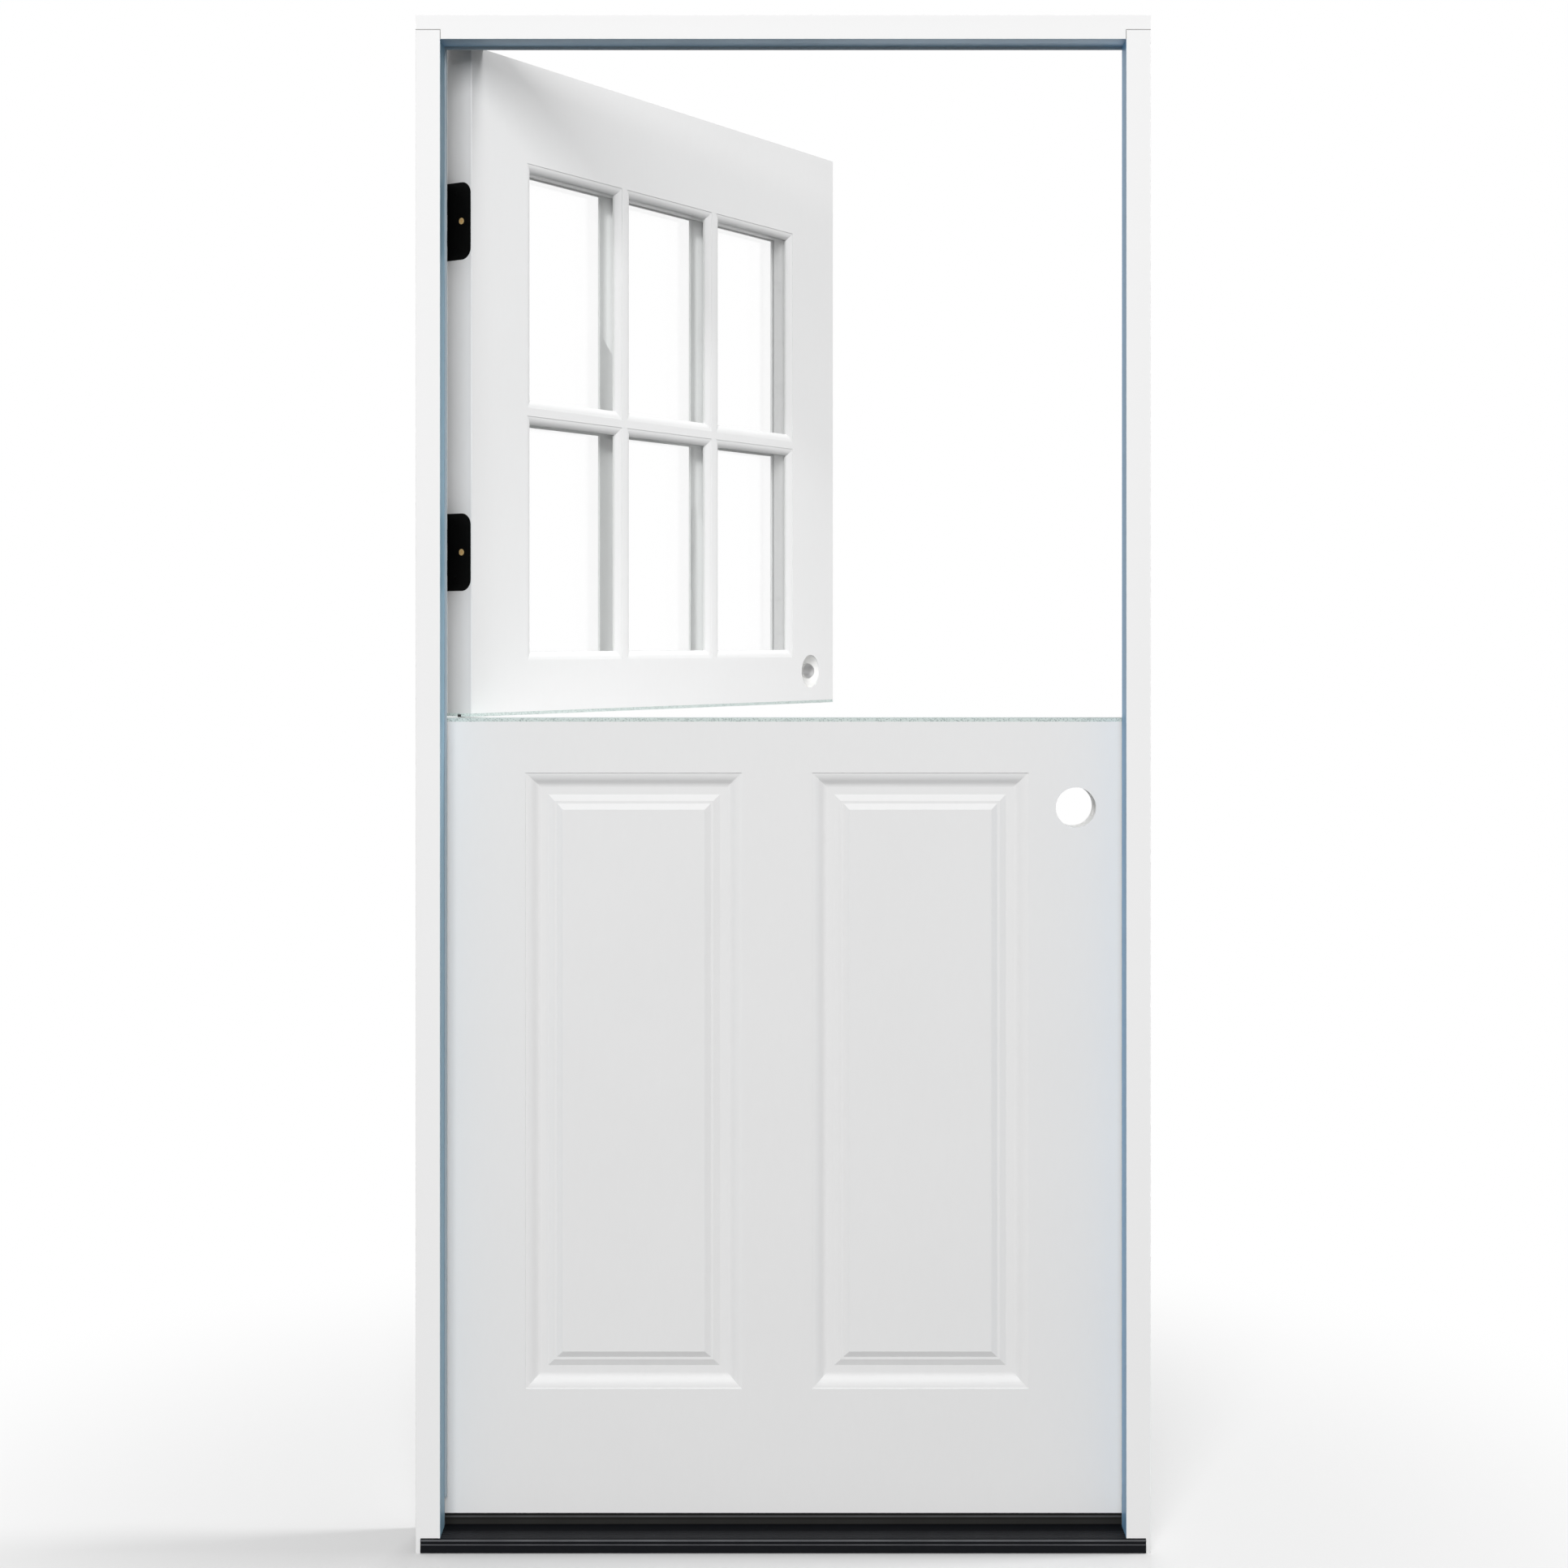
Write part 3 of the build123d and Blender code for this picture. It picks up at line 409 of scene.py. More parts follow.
@dataclass(frozen=True)
class JambFinish(PaintFinish):
    """Jamb paint, blue-grey on the faces of the stops with painted light in a tone for each side
    and the head and painted shade towards the front, and dark lines at the joints.
    """

    # Blue-grey tones of the stop faces: each of the hinge side, the strike side and the head gets
    # its own tone as painted light.
    hinge_reveal_painted_light: Colour = (0.30, 0.50, 0.64)
    strike_reveal_painted_light: Colour = (0.21, 0.42, 0.65)
    head_reveal_painted_light: Colour = (0.55, 0.77, 0.97)
    # Painted shade: the stop faces darken to this share of their tone at the front edge.
    reveal_painted_shade: float = 0.78
    joint_colour: Colour = (0.36, 0.36, 0.35)
    stop_x: float = 452.5 * MM
    stop_z: float = 1997.5 * MM
    head_z: float = 2010.0 * MM
    front_y: float = -46.0 * MM
    stop_back_y: float = -6.5 * MM
    edge: float = 0.25 * MM
    joint: float = 0.5 * MM

    def tint(self, board: NodeBoard, place: bpy.types.NodeSocket) -> object:
        """White outside, blue-grey on the reveal with painted light and painted shade, and a line
        where the head meets the jambs.
        """
        split = board.add("ShaderNodeSeparateXYZ", {0: place}).outputs
        aside = board.math("ABSOLUTE", split[0])
        beside = board.math("LESS_THAN", aside, self.stop_x + self.edge)
        below = board.math("LESS_THAN", split[2], self.stop_z + self.edge)
        ahead = board.math("LESS_THAN", split[1], self.stop_back_y + self.edge)
        # Painted light: the hinge side, the strike side and the head each take their own blue-grey
        # tone.
        strike_side = board.math("GREATER_THAN", split[0], 0.0)
        film = board.mix(strike_side, self.hinge_reveal_painted_light, self.strike_reveal_painted_light)
        overhead = board.math("GREATER_THAN", split[2], self.stop_z - self.edge)
        film = board.mix(overhead, film, self.head_reveal_painted_light)
        # Painted shade: the blue-grey darkens towards the front edge of the stops.
        depth = board.remap(split[1], self.front_y, self.stop_back_y, to_low=self.reveal_painted_shade)
        film = board.mix(depth, NO_COLOUR, film)
        mask = board.math("MULTIPLY", board.math("MULTIPLY", beside, below), ahead)
        painted = board.mix(mask, self.colour, film)
        return board.mix(self.joints(board, aside, split[2]), painted, self.joint_colour)

    def joints(
        self, board: NodeBoard, aside: bpy.types.NodeSocket, height: bpy.types.NodeSocket
    ) -> bpy.types.NodeSocket:
        """Mask of the butt joint over the jambs and of the head stop's ends.

        Args:
            board: The material's node board.
            aside: Distance from the middle of the opening.
            height: Height over the sill's foot.

        Returns:
            The mask's socket.
        """
        outside = board.math("GREATER_THAN", aside, self.stop_x - self.joint)
        level = board.math("ABSOLUTE", board.math("SUBTRACT", height, self.head_z))
        butt = board.math("MULTIPLY", board.math("LESS_THAN", level, self.joint), outside)
        beside = board.math("ABSOLUTE", board.math("SUBTRACT", aside, self.stop_x))
        over = board.math("GREATER_THAN", height, self.stop_z + self.joint)
        under = board.math("LESS_THAN", height, self.head_z)
        ends = board.math("MULTIPLY", board.math("LESS_THAN", beside, self.joint), over)
        return board.math("MAXIMUM", butt, board.math("MULTIPLY", ends, under))


@dataclass(frozen=True)
class WoodFinish(Finish):
    """Wood with its grain along Z."""

    late_wood: Colour = (0.45, 0.30, 0.17)
    contrast: float = 0.6

    def surface(self, board: NodeBoard, kit: EffectKit, place: bpy.types.NodeSocket) -> dict:
        """Sockets of the grain."""
        grain = kit.grain.place(
            board,
            {
                "Place": place,
                "Early Wood": self.colour,
                "Late Wood": self.late_wood,
                "Contrast": self.contrast,
            },
        )
        return {"Base Color": grain["Colour"], "Height": grain["Height"]}


@dataclass(frozen=True)
class DrawnFinish(Finish):
    """Metal or plastic with die lines along X.

    Each entry of highlight_edges is a painted highlight along an edge on X: its Y, Z, reach and
    strength.
    """

    rub: Colour = (0.08, 0.08, 0.085)
    # Colour of the painted highlights along the edges.
    highlight_colour: Colour = (0.17, 0.175, 0.185)
    highlight_edges: tuple[tuple[float, float, float, float], ...] = ()

    def surface(self, board: NodeBoard, kit: EffectKit, place: bpy.types.NodeSocket) -> dict:
        """Sockets of the die lines and the painted highlights."""
        lines = kit.drawn.place(
            board,
            {
                "Place": place,
                "Colour": self.colour,
                "Rub Colour": self.rub,
                "Gloss": self.roughness,
            },
        )
        colour = lines["Colour"]
        # Painted highlights: a thin band along each edge is lightened.
        for edge_y, edge_z, reach, highlight_strength in self.highlight_edges:
            ridge = kit.ridge.place(
                board,
                {
                    "Place": place,
                    "Edge Y": edge_y * MM,
                    "Edge Z": edge_z * MM,
                    "Reach": reach * MM,
                    "Highlight Strength": highlight_strength,
                },
            )
            colour = board.mix(ridge["Mask"], colour, self.highlight_colour)
        return {"Base Color": colour, "Roughness": lines["Roughness"], "Height": lines["Height"]}


@dataclass(frozen=True)
class SpeckleFinish(Finish):
    """Foam, rubber or composite with flecks or pits."""

    fleck: Colour = (0.5, 0.5, 0.5)
    size: float = 700.0
    amount: float = 0.5

    def surface(self, board: NodeBoard, kit: EffectKit, place: bpy.types.NodeSocket) -> dict:
        """Sockets of the flecks."""
        flecks = kit.speckle.place(
            board,
            {
                "Place": place,
                "Ground": self.colour,
                "Fleck": self.fleck,
                "Size": self.size,
                "Amount": self.amount,
            },
        )
        return {"Base Color": flecks["Colour"], "Height": flecks["Height"]}


@dataclass(frozen=True)
class GlassFinish(Finish):
    """Clear glass that lets light through to what is behind it."""

    clear: Colour = (0.985, 0.993, 0.99)
    ior: float = 1.45

    def surface(self, board: NodeBoard, kit: EffectKit, place: bpy.types.NodeSocket) -> dict:
        """Plain transmission, with the faint waviness of float glass."""
        wave = board.noise(place, scale=6.0, detail=1.0)
        return {"Transmission Weight": 1.0, "IOR": self.ior, "Height": wave}

    def cover(self, board: NodeBoard, shader: bpy.types.NodeSocket) -> bpy.types.NodeSocket:
        """Light passes straight through for shadows."""
        clear = board.add("ShaderNodeBsdfTransparent", {"Color": self.clear})
        path = board.add("ShaderNodeLightPath").outputs
        see_through = board.math("MAXIMUM", path["Is Shadow Ray"], path["Is Diffuse Ray"])
        mix = board.add("ShaderNodeMixShader", {0: see_through, 1: shader, 2: clear.outputs[0]})
        return mix.outputs[0]


class Palette(Enum):
    """Every finish on the door."""

    JAMB = JambFinish(
        "jamb_white", (0.88, 0.88, 0.88), roughness=0.42, specular=0.3, bump=0.12, mottle=0.008
    )
    SKIN = PaintFinish("leaf_white", (0.80, 0.80, 0.80), roughness=0.5, bump=0.16, mottle=0.03)
    EDGE = PaintFinish("edge_grey", (0.66, 0.66, 0.66), roughness=0.6, bump=0.3, mottle=0.05)
    BLOCK = PaintFinish("bored_block", (0.88, 0.88, 0.87), roughness=0.65, bump=0.4, mottle=0.05)
    SOFTWOOD = WoodFinish("bare_softwood", (0.72, 0.58, 0.40), roughness=0.7, bump=0.3)
    FOAM = SpeckleFinish(
        "core_foam",
        (0.86, 0.82, 0.66),
        roughness=0.9,
        bump=0.5,
        fleck=(0.7, 0.65, 0.5),
        size=900.0,
    )
    MEETING = SpeckleFinish(
        "meeting_strip",
        (0.62, 0.69, 0.67),
        roughness=0.7,
        bump=0.6,
        bump_depth=0.4 * MM,
        fleck=(0.3, 0.36, 0.35),
        size=520.0,
        amount=0.8,
    )
    STRIP = SpeckleFinish(
        "weatherstrip", (0.50, 0.56, 0.60), roughness=0.65, fleck=(0.42, 0.48, 0.53), size=1500.0
    )
    GASKET = SpeckleFinish(
        "glazing_gasket", (0.8, 0.8, 0.8), roughness=0.6, fleck=(0.74, 0.74, 0.74)
    )
    RUBBER = SpeckleFinish(
        "black_seal", (0.03, 0.03, 0.03), roughness=0.75, fleck=(0.06, 0.06, 0.06)
    )
    TREAD = DrawnFinish(
        "tread_black",
        (0.004, 0.0045, 0.006),
        roughness=0.34,
        specular=0.13,
        bump=0.25,
        rub=(0.012, 0.012, 0.014),
        # Painted highlights along the nose, the groove foot and the ribs of the tread.
        highlight_edges=(
            (-48.0, 17.4, 1.5, 0.8),
            (-48.0, 11.9, 1.1, 0.6),
            (-41.5, 19.8, 1.3, 0.25),
            (-36.5, 20.0, 1.3, 0.25),
            (-31.0, 20.2, 1.3, 0.2),
            (-25.5, 20.4, 1.3, 0.15),
        ),
    )
    CAP = DrawnFinish(
        "cap_black",
        (0.013, 0.0125, 0.011),
        roughness=0.42,
        specular=0.15,
        bump=0.3,
        rub=(0.024, 0.024, 0.021),
        # Painted highlights along the cap's top edge and, faintly, across its face.
        highlight_edges=((1.5, 31.2, 1.6, 0.35), (1.5, 24.5, 4.0, 0.07)),
    )
    CORE = SpeckleFinish(
        "sill_core", (0.16, 0.16, 0.16), roughness=0.85, fleck=(0.3, 0.3, 0.3)
    )
    HINGE = PaintFinish(
        "hinge_black", (0.003, 0.003, 0.003), roughness=0.5, mottle=0.2, specular=0.1
    )
    BLACK_SCREW = Finish("screw_black", (0.003, 0.003, 0.003), roughness=0.45, specular=0.12)
    BRASS = Finish("screw_brass", (0.86, 0.60, 0.27), roughness=0.4, metallic=0.4)
    ZINC = Finish("screw_zinc", (0.62, 0.62, 0.61), roughness=0.35, metallic=1.0)
    SPACER = DrawnFinish(
        "glass_spacer", (0.8, 0.8, 0.8), roughness=0.5, metallic=0.4, rub=(0.7, 0.7, 0.7)
    )
    GLASS = GlassFinish("pane", WHITE, roughness=0.0, bump=0.02, bump_depth=0.02 * MM)


class Wardrobe:
    """Makes each finish once and dresses CAD nodes in it."""

    def __init__(self) -> None:
        """Build the shared groups and an empty shelf of materials."""
        self.kit = EffectKit()
        self.shelf: dict[Palette, bpy.types.Material] = {}

    def material(self, finish: Palette) -> bpy.types.Material:
        """The material of a finish, made on first use."""
        if finish not in self.shelf:
            self.shelf[finish] = finish.value.build(self.kit)
        return self.shelf[finish]

    def dress(self, piece: bpy.types.Object, finish: Palette) -> None:
        """Put a finish on every material slot of an object."""
        if not piece.material_slots:
            piece.data.materials.append(self.material(finish))
        for slot in piece.material_slots:
            slot.material = self.material(finish)

    def dress_nodes(self, names: Iterable[str], finish: Palette) -> None:
        """Put a finish on CAD nodes.

        Args:
            names: Names of the nodes.
            finish: The finish that they get.
        """
        for name in names:
            self.dress(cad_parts[name], finish)
            log.info("%s wears %s", name, finish.value.name)


def pick(kind: str) -> None:
    """Start with nothing selected, in object mode or in a mesh select mode."""
    if kind == "OBJECT":
        bpy.ops.object.select_all(action="DESELECT")
    else:
        bpy.ops.mesh.select_mode(type=kind)
        bpy.ops.mesh.select_all(action="DESELECT")


@dataclass
class ScrewShape:
    """A countersunk screw with a cross recess, head upwards at the origin, in metres."""

    head_radius: float = 4.4 * MM
    head_height: float = 2.4 * MM
    shank_radius: float = 2.0 * MM
    length: float = 26.0 * MM
    tip: float = 4.0 * MM
    tip_radius: float = 0.3 * MM
    land: float = 0.25 * MM
    sink: float = 0.05 * MM
    recess_width: float = 1.15 * MM
    recess_reach: float = 2.5 * MM
    recess_depth: float = 1.7 * MM
    recess_taper: float = 0.35
    recess_thinning: float = 0.7
    sides: int = 28

    def make(self, name: str) -> bpy.types.Object:
        """Model the screw.

        Args:
            name: Name of the new object.

        Returns:
            The screw at the origin.
        """
        pick("OBJECT")
        bpy.ops.mesh.primitive_cylinder_add(
            vertices=self.sides,
            radius=self.head_radius,
            depth=self.land,
            location=(0.0, 0.0, -self.sink - self.land / 2),
        )
        screw = bpy.context.object
        screw.name = name
        bpy.ops.object.transform_apply(location=True)
        bpy.ops.object.mode_set(mode="EDIT")
        foot = -self.sink - self.land
        stages = (
            (self.head_height - self.land, self.shank_radius / self.head_radius),
            (self.length - self.head_height - self.tip, 1.0),
            (self.tip, self.tip_radius / self.shank_radius),
        )
        for depth, ratio in stages:
            self._draw_out(screw, foot, depth, ratio)
            foot -= depth
        bpy.ops.object.mode_set(mode="OBJECT")
        for turn in (0.0, math.pi / 2):
            self._cut_slot(screw, turn)
        return screw

    @staticmethod
    def _draw_out(screw: bpy.types.Object, foot: float, depth: float, ratio: float) -> None:
        """Extrude the lowest face downwards and scale it."""
        pick("FACE")
        bpy.ops.object.mode_set(mode="OBJECT")
        for face in screw.data.polygons:
            face.select = face.normal.z < -0.9 and abs(face.center.z - foot) < 1e-6
        bpy.ops.object.mode_set(mode="EDIT")
        bpy.ops.mesh.extrude_region_move(TRANSFORM_OT_translate={"value": (0.0, 0.0, -depth)})
        centre = (0.0, 0.0, foot - depth)
        bpy.ops.transform.resize(value=(ratio, ratio, 1.0), center_override=centre)

    def _cut_slot(self, screw: bpy.types.Object, turn: float) -> None:
        """Cut one arm of the recess with a tapered wedge."""
        pick("OBJECT")
        bpy.ops.mesh.primitive_cube_add(size=1.0)
        wedge = bpy.context.object
        size = Vector((2 * self.recess_reach, self.recess_width, 2 * self.recess_depth))
        wedge.data.transform(Matrix.Diagonal((*size, 1.0)))
        for vertex in wedge.data.vertices:
            if vertex.co.z < 0.0:
                vertex.co.x *= self.recess_taper
                vertex.co.y *= self.recess_thinning
        wedge.data.transform(Matrix.Rotation(turn, 4, "Z"))
        pick("OBJECT")
        screw.select_set(True)
        bpy.context.view_layer.objects.active = screw
        cut = screw.modifiers.new("recess", "BOOLEAN")
        cut.operation, cut.solver, cut.object = "DIFFERENCE", "EXACT", wedge
        bpy.ops.object.modifier_apply(modifier=cut.name)
        bpy.data.objects.remove(wedge)


@dataclass
class ScrewSet:
    """Screws that stand for one CAD node."""

    node: str
    body: Body
    slot: str
    finish: Palette
    places: list[Vector]
    facing: Vector
    shape: ScrewShape = field(default_factory=ScrewShape)
    placed_by: Matrix = field(default_factory=Matrix)
    turn_step: float = 0.6

    def make(self, wardrobe: Wardrobe) -> bpy.types.Object:
        """Model the set as one piece that replaces the node.

        Args:
            wardrobe: Where the finish comes from.

        Returns:
            The finished piece.
        """
        pattern = self.shape.make(f"{self.node}_detail")
        turn = self.facing.to_track_quat("Z", "Y").to_matrix().to_4x4()
        copies = [pattern] + [self._copy(pattern) for _ in self.places[1:]]
        for index, (screw, place) in enumerate(zip(copies, self.places)):
            spin = Matrix.Rotation(self.turn_step * index, 4, "Z")
            screw.data.transform(self.placed_by @ Matrix.Translation(place) @ turn @ spin)
        pick("OBJECT")
        for screw in copies:
            screw.select_set(True)
        bpy.context.view_layer.objects.active = pattern
        bpy.ops.object.join()
        bpy.ops.object.shade_smooth_by_angle(angle=SMOOTH_ANGLE)
        wardrobe.dress(pattern, self.finish)
        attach(pattern, self.body.value)
        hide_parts(self.node)
        log.info("%s: %d screws on %s", pattern.name, len(copies), self.body.value)
        return pattern

    @staticmethod
    def _copy(pattern: bpy.types.Object) -> bpy.types.Object:
        """Copy the pattern screw with its own mesh."""
        twin = pattern.copy()
        twin.data = pattern.data.copy()
        bpy.context.scene.collection.objects.link(twin)
        return twin


@dataclass
class HingeRow:
    """Places on the hinge side that the screws need, as in the CAD, in metres."""

    pin: Vector = field(default_factory=lambda: Vector((-463.5, 52.3, 0.0)) * MM)
    gap: float = 3.0 * MM
    outer_y: float = 31.5 * MM
    middle_y: float = 20.0 * MM
    spread: float = 36.0 * MM
    open_angle: float = math.radians(57.0)
    lower_heights: tuple[float, float] = (266.0 * MM, 860.5 * MM)
    upper_heights: tuple[float, float] = (1323.7 * MM, 1772.0 * MM)

    def outer(self, side: int, heights: Iterable[float]) -> list[Vector]:
        """Heads near the ends of the plates on one side of the pin."""
        face_x = self.pin.x + side * self.gap / 2
        return [
            Vector((face_x, self.outer_y, height + end * self.spread))
            for height in heights
            for end in (-1, 1)
        ]

    def middle(self, side: int, heights: Iterable[float]) -> list[Vector]:
        """Heads at the middles of the plates on one side of the pin."""
        face_x = self.pin.x + side * self.gap / 2
        return [Vector((face_x, self.middle_y, height)) for height in heights]

    def opened(self) -> Matrix:
        """Turn about the pins from closed to where the upper leaf stands."""
        there = Matrix.Translation(self.pin)
        return there @ Matrix.Rotation(self.open_angle, 4, "Z") @ there.inverted()


@dataclass
class DoorFrame:
    """Jambs, sill, weatherstrips and the frame's halves of the hinges."""

    hinges: HingeRow = field(default_factory=HingeRow)
    screw_length: float = 17.0 * MM

    def dress(self, wardrobe: Wardrobe) -> None:
        """Put the finishes on the frame's nodes.

        Args:
            wardrobe: Where the finishes come from.
        """
        wardrobe.dress_nodes(("hinge_jamb", "strike_jamb", "head_jamb"), Palette.JAMB)
        wardrobe.dress_nodes(
            ("hinge_weatherstrip", "strike_weatherstrip", "head_weatherstrip", "corner_pads"),
            Palette.STRIP,
        )
        wardrobe.dress_nodes(("sill_base",), Palette.CORE)
        wardrobe.dress_nodes(("sill_tread",), Palette.TREAD)
        wardrobe.dress_nodes(("sill_cap",), Palette.CAP)
        wardrobe.dress_nodes(("head_screws", "sill_screws", "sill_cap_screws"), Palette.ZINC)
        wardrobe.dress_nodes(
            [
                f"{leaf}_{place}_hinge_{part}"
                for leaf in ("lower", "upper")
                for place in ("bottom", "top")
                for part in ("frame_half", "pin")
            ],
            Palette.HINGE,
        )

    def build(self, wardrobe: Wardrobe) -> None:
        """Model the screws of the frame's plates."""
        heights = self.hinges.lower_heights + self.hinges.upper_heights
        ScrewSet(
            "frame_hinge_screws",
            Body.FRAME,
            "black_screw",
            Palette.BLACK_SCREW,
            self.hinges.outer(-1, heights) + self.hinges.middle(-1, heights),
            Vector((1.0, 0.0, 0.0)),
            ScrewShape(length=self.screw_length),
        ).make(wardrobe)


@dataclass
class Leaf:
    """What both leaves have in common."""

    name: str
    body: Body
    heights: tuple[float, float]
    placed_by: Matrix = field(default_factory=Matrix)
    hinges: HingeRow = field(default_factory=HingeRow)

    def node(self, part: str) -> str:
        """Name of one of the leaf's nodes."""
        return f"{self.name}_{part}"

    def dress(self, wardrobe: Wardrobe) -> None:
        """Put the finishes on the leaf's nodes.

        Args:
            wardrobe: Where the finishes come from.
        """
        table = {
            Palette.SKIN: ("outer_skin", "inner_skin"),
            Palette.EDGE: ("hinge_stile", "lock_stile", "top_rail", "bottom_rail"),
            Palette.BLOCK: ("lock_block",),
            Palette.FOAM: ("core",),
            Palette.MEETING: ("meeting_cap",),
            Palette.HINGE: ("bottom_hinge_leaf_half", "top_hinge_leaf_half"),
        }
        for finish, parts in table.items():
            wardrobe.dress_nodes([self.node(part) for part in parts], finish)

    def build(self, wardrobe: Wardrobe) -> None:
        """Model the screws of the leaf's plates."""
        facing = Vector((-1.0, 0.0, 0.0))
        rows = (
            ("hinge_screws", "black_screw", Palette.BLACK_SCREW, self.hinges.outer),
            ("hinge_middle_screws", "brass_screw", Palette.BRASS, self.hinges.middle),
        )
        for part, slot, finish, places in rows:
            ScrewSet(
                self.node(part),
                self.body,
                slot,
                finish,
                places(1, self.heights),
                facing,
                placed_by=self.placed_by,
            ).make(wardrobe)


class LowerLeaf(Leaf):
    """The panelled leaf, which stands closed."""

    def __init__(self) -> None:
        """Give the lower leaf's own values."""
        super().__init__("lower", Body.LOWER, HingeRow().lower_heights)

    def dress(self, wardrobe: Wardrobe) -> None:
        """Add the bottom sweep to what every leaf wears."""
        super().dress(wardrobe)
        wardrobe.dress_nodes(("bottom_sweep",), Palette.RUBBER)


class UpperLeaf(Leaf):
    """The glazed leaf, which stands open."""

    def __init__(self) -> None:
        """Give the upper leaf's own values."""
        row = HingeRow()
        super().__init__("upper", Body.UPPER, row.upper_heights, row.opened())

    def dress(self, wardrobe: Wardrobe) -> None:
        """Add the glazing to what every leaf wears."""
        super().dress(wardrobe)
        wardrobe.dress_nodes(("light_liner",), Palette.SOFTWOOD)
        wardrobe.dress_nodes(("outer_gasket", "inner_gasket"), Palette.GASKET)
        wardrobe.dress_nodes(("meeting_seal",), Palette.RUBBER)
        wardrobe.dress_nodes(("outer_glass", "inner_glass"), Palette.GLASS)
        wardrobe.dress_nodes(("glass_spacer",), Palette.SPACER)


def hang(name: str, data: bpy.types.Light, place: Iterable[float], turn: Quaternion) -> None:
    """Add a lamp that lights the door and isn't seen itself.

    Args:
        name: Name of the lamp.
        data: Its light.
        place: Where it hangs.
        turn: How it is turned.
    """
    lamp = bpy.data.objects.new(name, data)
    lamp.location = place
    lamp.rotation_euler = turn.to_euler()
    lamp.visible_camera = lamp.visible_glossy = lamp.visible_transmission = False
    bpy.context.scene.collection.objects.link(lamp)


@dataclass(frozen=True)
class Lamp:
    """A soft area lamp aimed at a point."""

    name: str
    place: tuple[float, float, float]
    aim: tuple[float, float, float]
    size: float
    watts: float

    def light(self) -> None:
        """Add the lamp to the scene."""
        data = bpy.data.lights.new(self.name, "AREA")
        data.shape, data.size, data.energy = "SQUARE", self.size, self.watts
        way = Vector(self.aim) - Vector(self.place)
        hang(self.name, data, self.place, way.to_track_quat("-Z", "Y"))


@dataclass(frozen=True)
class FarLamp:
    """A soft lamp so far away that it lights the whole door evenly."""

    name: str
    stands: tuple[float, float, float]
    strength: float
    spread: float

    def light(self) -> None:
        """Add the lamp to the scene."""
        data = bpy.data.lights.new(self.name, "SUN")
        data.energy, data.angle = self.strength, math.radians(self.spread)
        hang(self.name, data, self.stands, Vector(self.stands).to_track_quat("Z", "Y"))


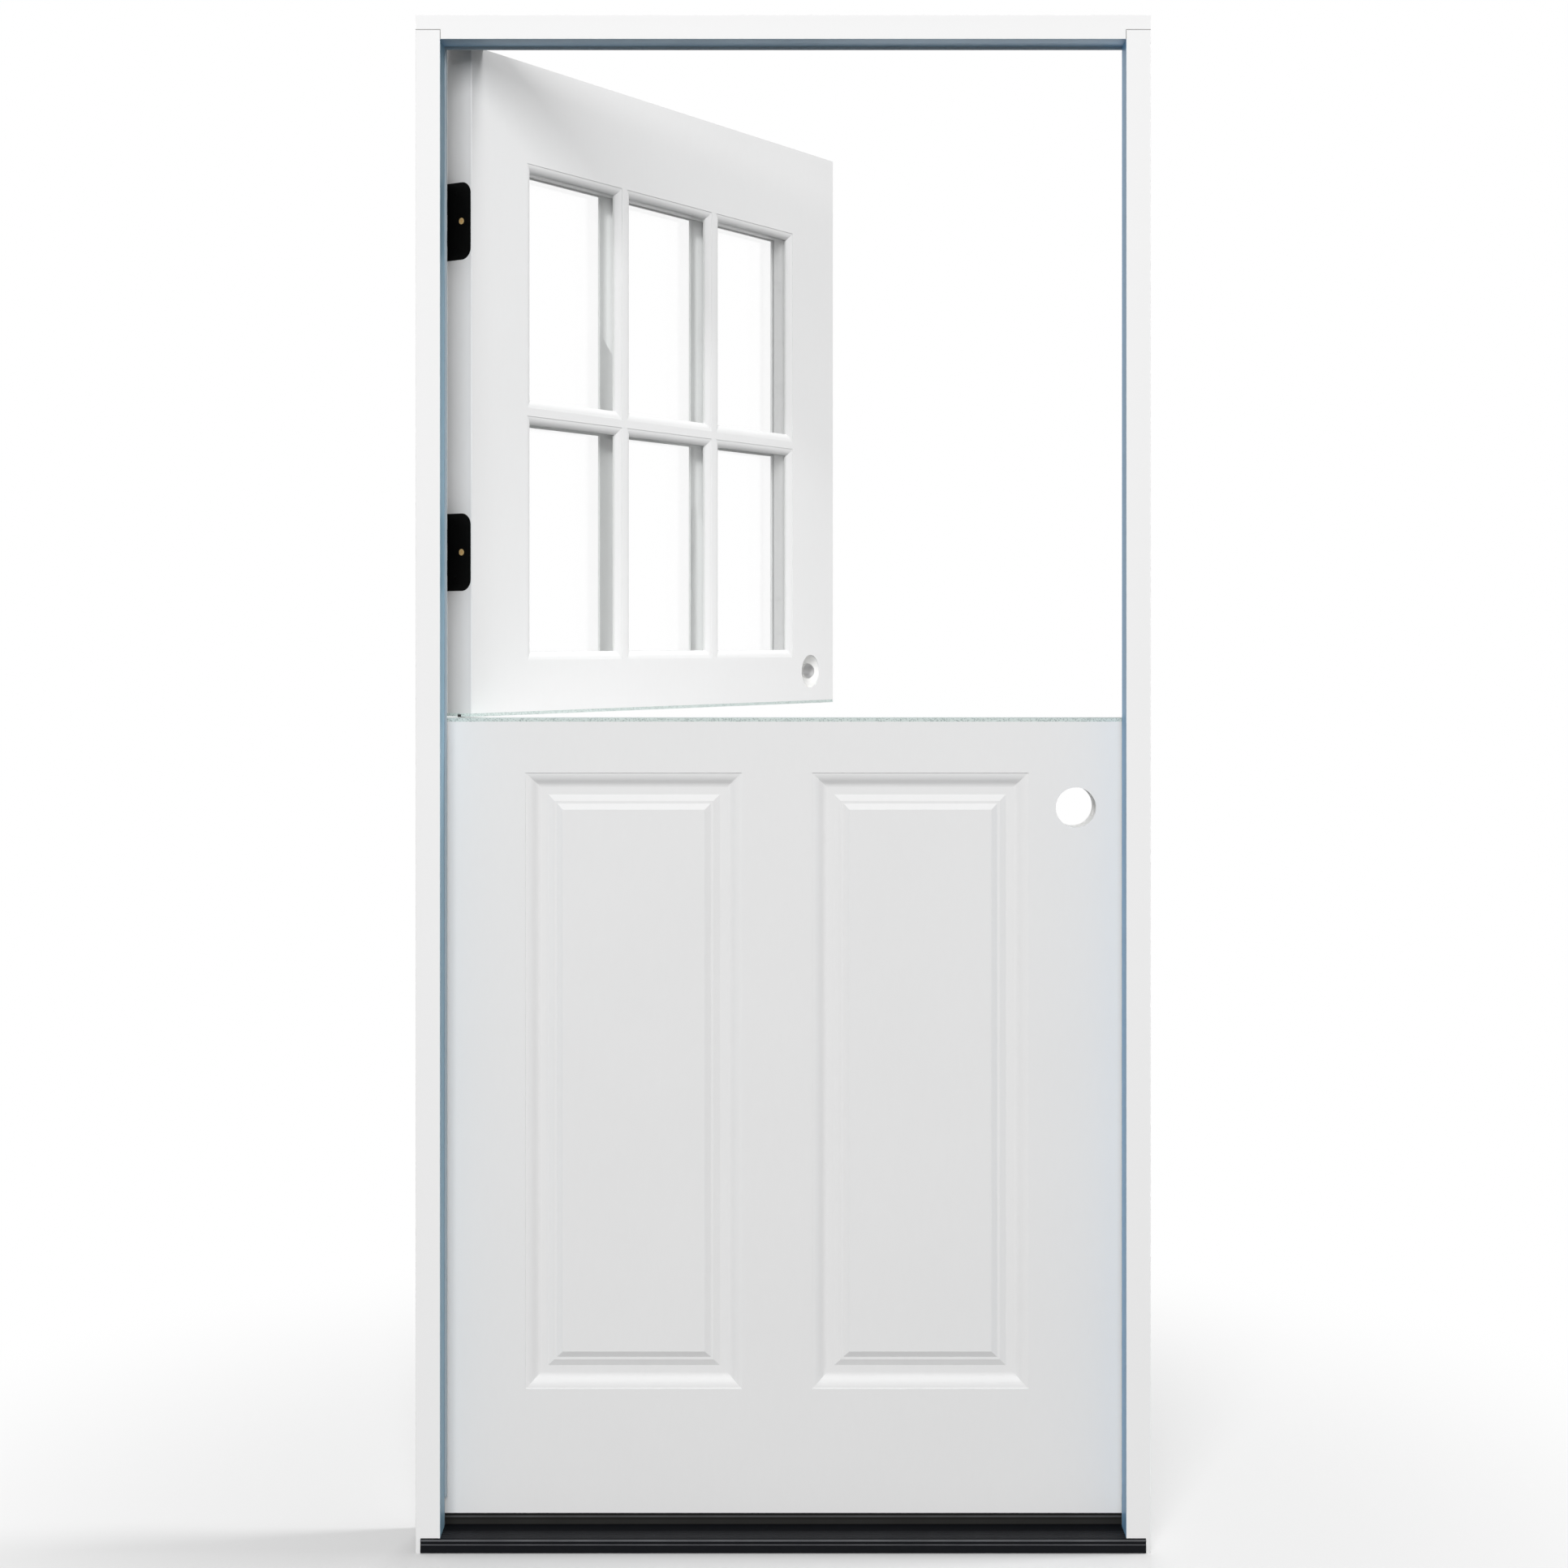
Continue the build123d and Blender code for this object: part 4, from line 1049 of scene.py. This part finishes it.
@dataclass(frozen=True)
class Studio:
    """Pale floor with a painted shadow pool round the door, soft light and white surroundings."""

    floor_size: float = 120.0
    # Grey of the floor seen near the door: a painted shadow pool.
    shadow_pool_colour: Colour = (0.66, 0.66, 0.66)
    bounce_colour: Colour = (0.06, 0.06, 0.06)
    floor_lift: float = 0.05
    # The painted shadow pool holds out to this radius and fades to white by the next.
    shadow_pool_radius: float = 0.55
    shadow_pool_edge: float = 1.6
    ambient: float = 0.5
    lamps: tuple[Lamp | FarLamp, ...] = (
        Lamp("key", (-0.9, -9.1, 5.4), (0.0, 0.0, 1.2), 5.0, 810.0),
        FarLamp("side", (8.1, 0.75, 5.0), 1.7, 12.0),
        Lamp("back", (0.6, 4.8, 1.1), (0.0, 0.0, 1.6), 1.8, 150.0),
    )

    def set_up(self) -> None:
        """Build the floor, the lamps and the world."""
        self._floor()
        for lamp in self.lamps:
            lamp.light()
        self._world()
        bpy.context.scene.view_settings.view_transform = "Standard"

    def _floor(self) -> None:
        """Pale floor under the sill, greyer near the door as a painted shadow pool, that fades to
        white far from the door.
        """
        pick("OBJECT")
        bpy.ops.mesh.primitive_plane_add(size=self.floor_size)
        floor = bpy.context.object
        floor.name = "studio_floor"
        material = bpy.data.materials.new("floor_paper")
        material.use_nodes = True
        board = NodeBoard(material.node_tree)
        place = board.add("ShaderNodeTexCoord").outputs["Object"]
        reach = board.add("ShaderNodeVectorMath", {0: place}, operation="LENGTH").outputs["Value"]
        paper = board.noise(place, scale=300.0)
        tone = board.remap(paper, 0.2, 0.8, to_low=0.985)
        seen = board.seen()
        paper_colour = board.mix(seen, self.bounce_colour, self.shadow_pool_colour)
        colour = board.mix(tone, NO_COLOUR, paper_colour)
        diffuse = board.add("ShaderNodeBsdfDiffuse", {"Color": colour})
        white = {"Color": WHITE, "Strength": 1.0}
        glow = board.add("ShaderNodeEmission", white)
        lift = board.math("MULTIPLY", seen, self.floor_lift)
        lifted = board.add("ShaderNodeEmission", {**white, "Strength": lift})
        near = board.add("ShaderNodeAddShader", {0: diffuse.outputs[0], 1: lifted.outputs[0]})
        # Painted shadow: the floor stays grey near the door and fades to white emission further
        # out.
        fade = board.math("MULTIPLY", board.remap(reach, self.shadow_pool_radius, self.shadow_pool_edge), seen)
        mix = board.add("ShaderNodeMixShader", {0: fade, 1: near.outputs[0], 2: glow.outputs[0]})
        board.add("ShaderNodeOutputMaterial", {"Surface": mix.outputs[0]})
        floor.data.materials.append(material)

    def _world(self) -> None:
        """White where it is seen, and softer where it lights the door."""
        world = bpy.data.worlds.new("studio_white")
        bpy.context.scene.world = world
        world.use_nodes = True
        board = NodeBoard(world.node_tree)
        strength = board.remap(board.seen(), 0.0, 1.0, to_low=self.ambient)
        glow = board.add("ShaderNodeBackground", {"Color": WHITE, "Strength": strength})
        board.add("ShaderNodeOutputWorld", {"Surface": glow.outputs[0]})


@dataclass(frozen=True)
class PhotoCamera:
    """Level camera in front of the door, as the photograph was taken."""

    place: tuple[float, float, float] = (0.0, -3.176, 1.2033)
    pixel: float = 1.0706 * MM
    distance: float = 3.130
    horizon_row: float = 790.0
    centre_column: float = 965.0
    sensor: float = 36.0
    reach: float = 200.0

    def set_up(self) -> None:
        """Add the camera and make it the scene's."""
        data = bpy.data.cameras.new("photo_camera")
        data.sensor_width = data.sensor_height = self.sensor
        data.lens = self.sensor * self.distance / self.pixel / IMAGE_SIDE
        data.shift_x = (IMAGE_SIDE / 2 - self.centre_column) / IMAGE_SIDE
        data.shift_y = (self.horizon_row - IMAGE_SIDE / 2) / IMAGE_SIDE
        data.clip_end = self.reach
        camera = bpy.data.objects.new("photo_camera", data)
        camera.location = self.place
        camera.rotation_euler = (math.pi / 2, 0.0, 0.0)
        bpy.context.scene.collection.objects.link(camera)
        bpy.context.scene.camera = camera


def main() -> None:
    """Dress the door, add its screws and set up the studio."""
    PhotoCamera().set_up()
    wardrobe = Wardrobe()
    for part in (DoorFrame(), LowerLeaf(), UpperLeaf()):
        part.dress(wardrobe)
        part.build(wardrobe)
        log.info("%s is done", type(part).__name__)
    Studio().set_up()


if __name__ == "__main__":
    main()
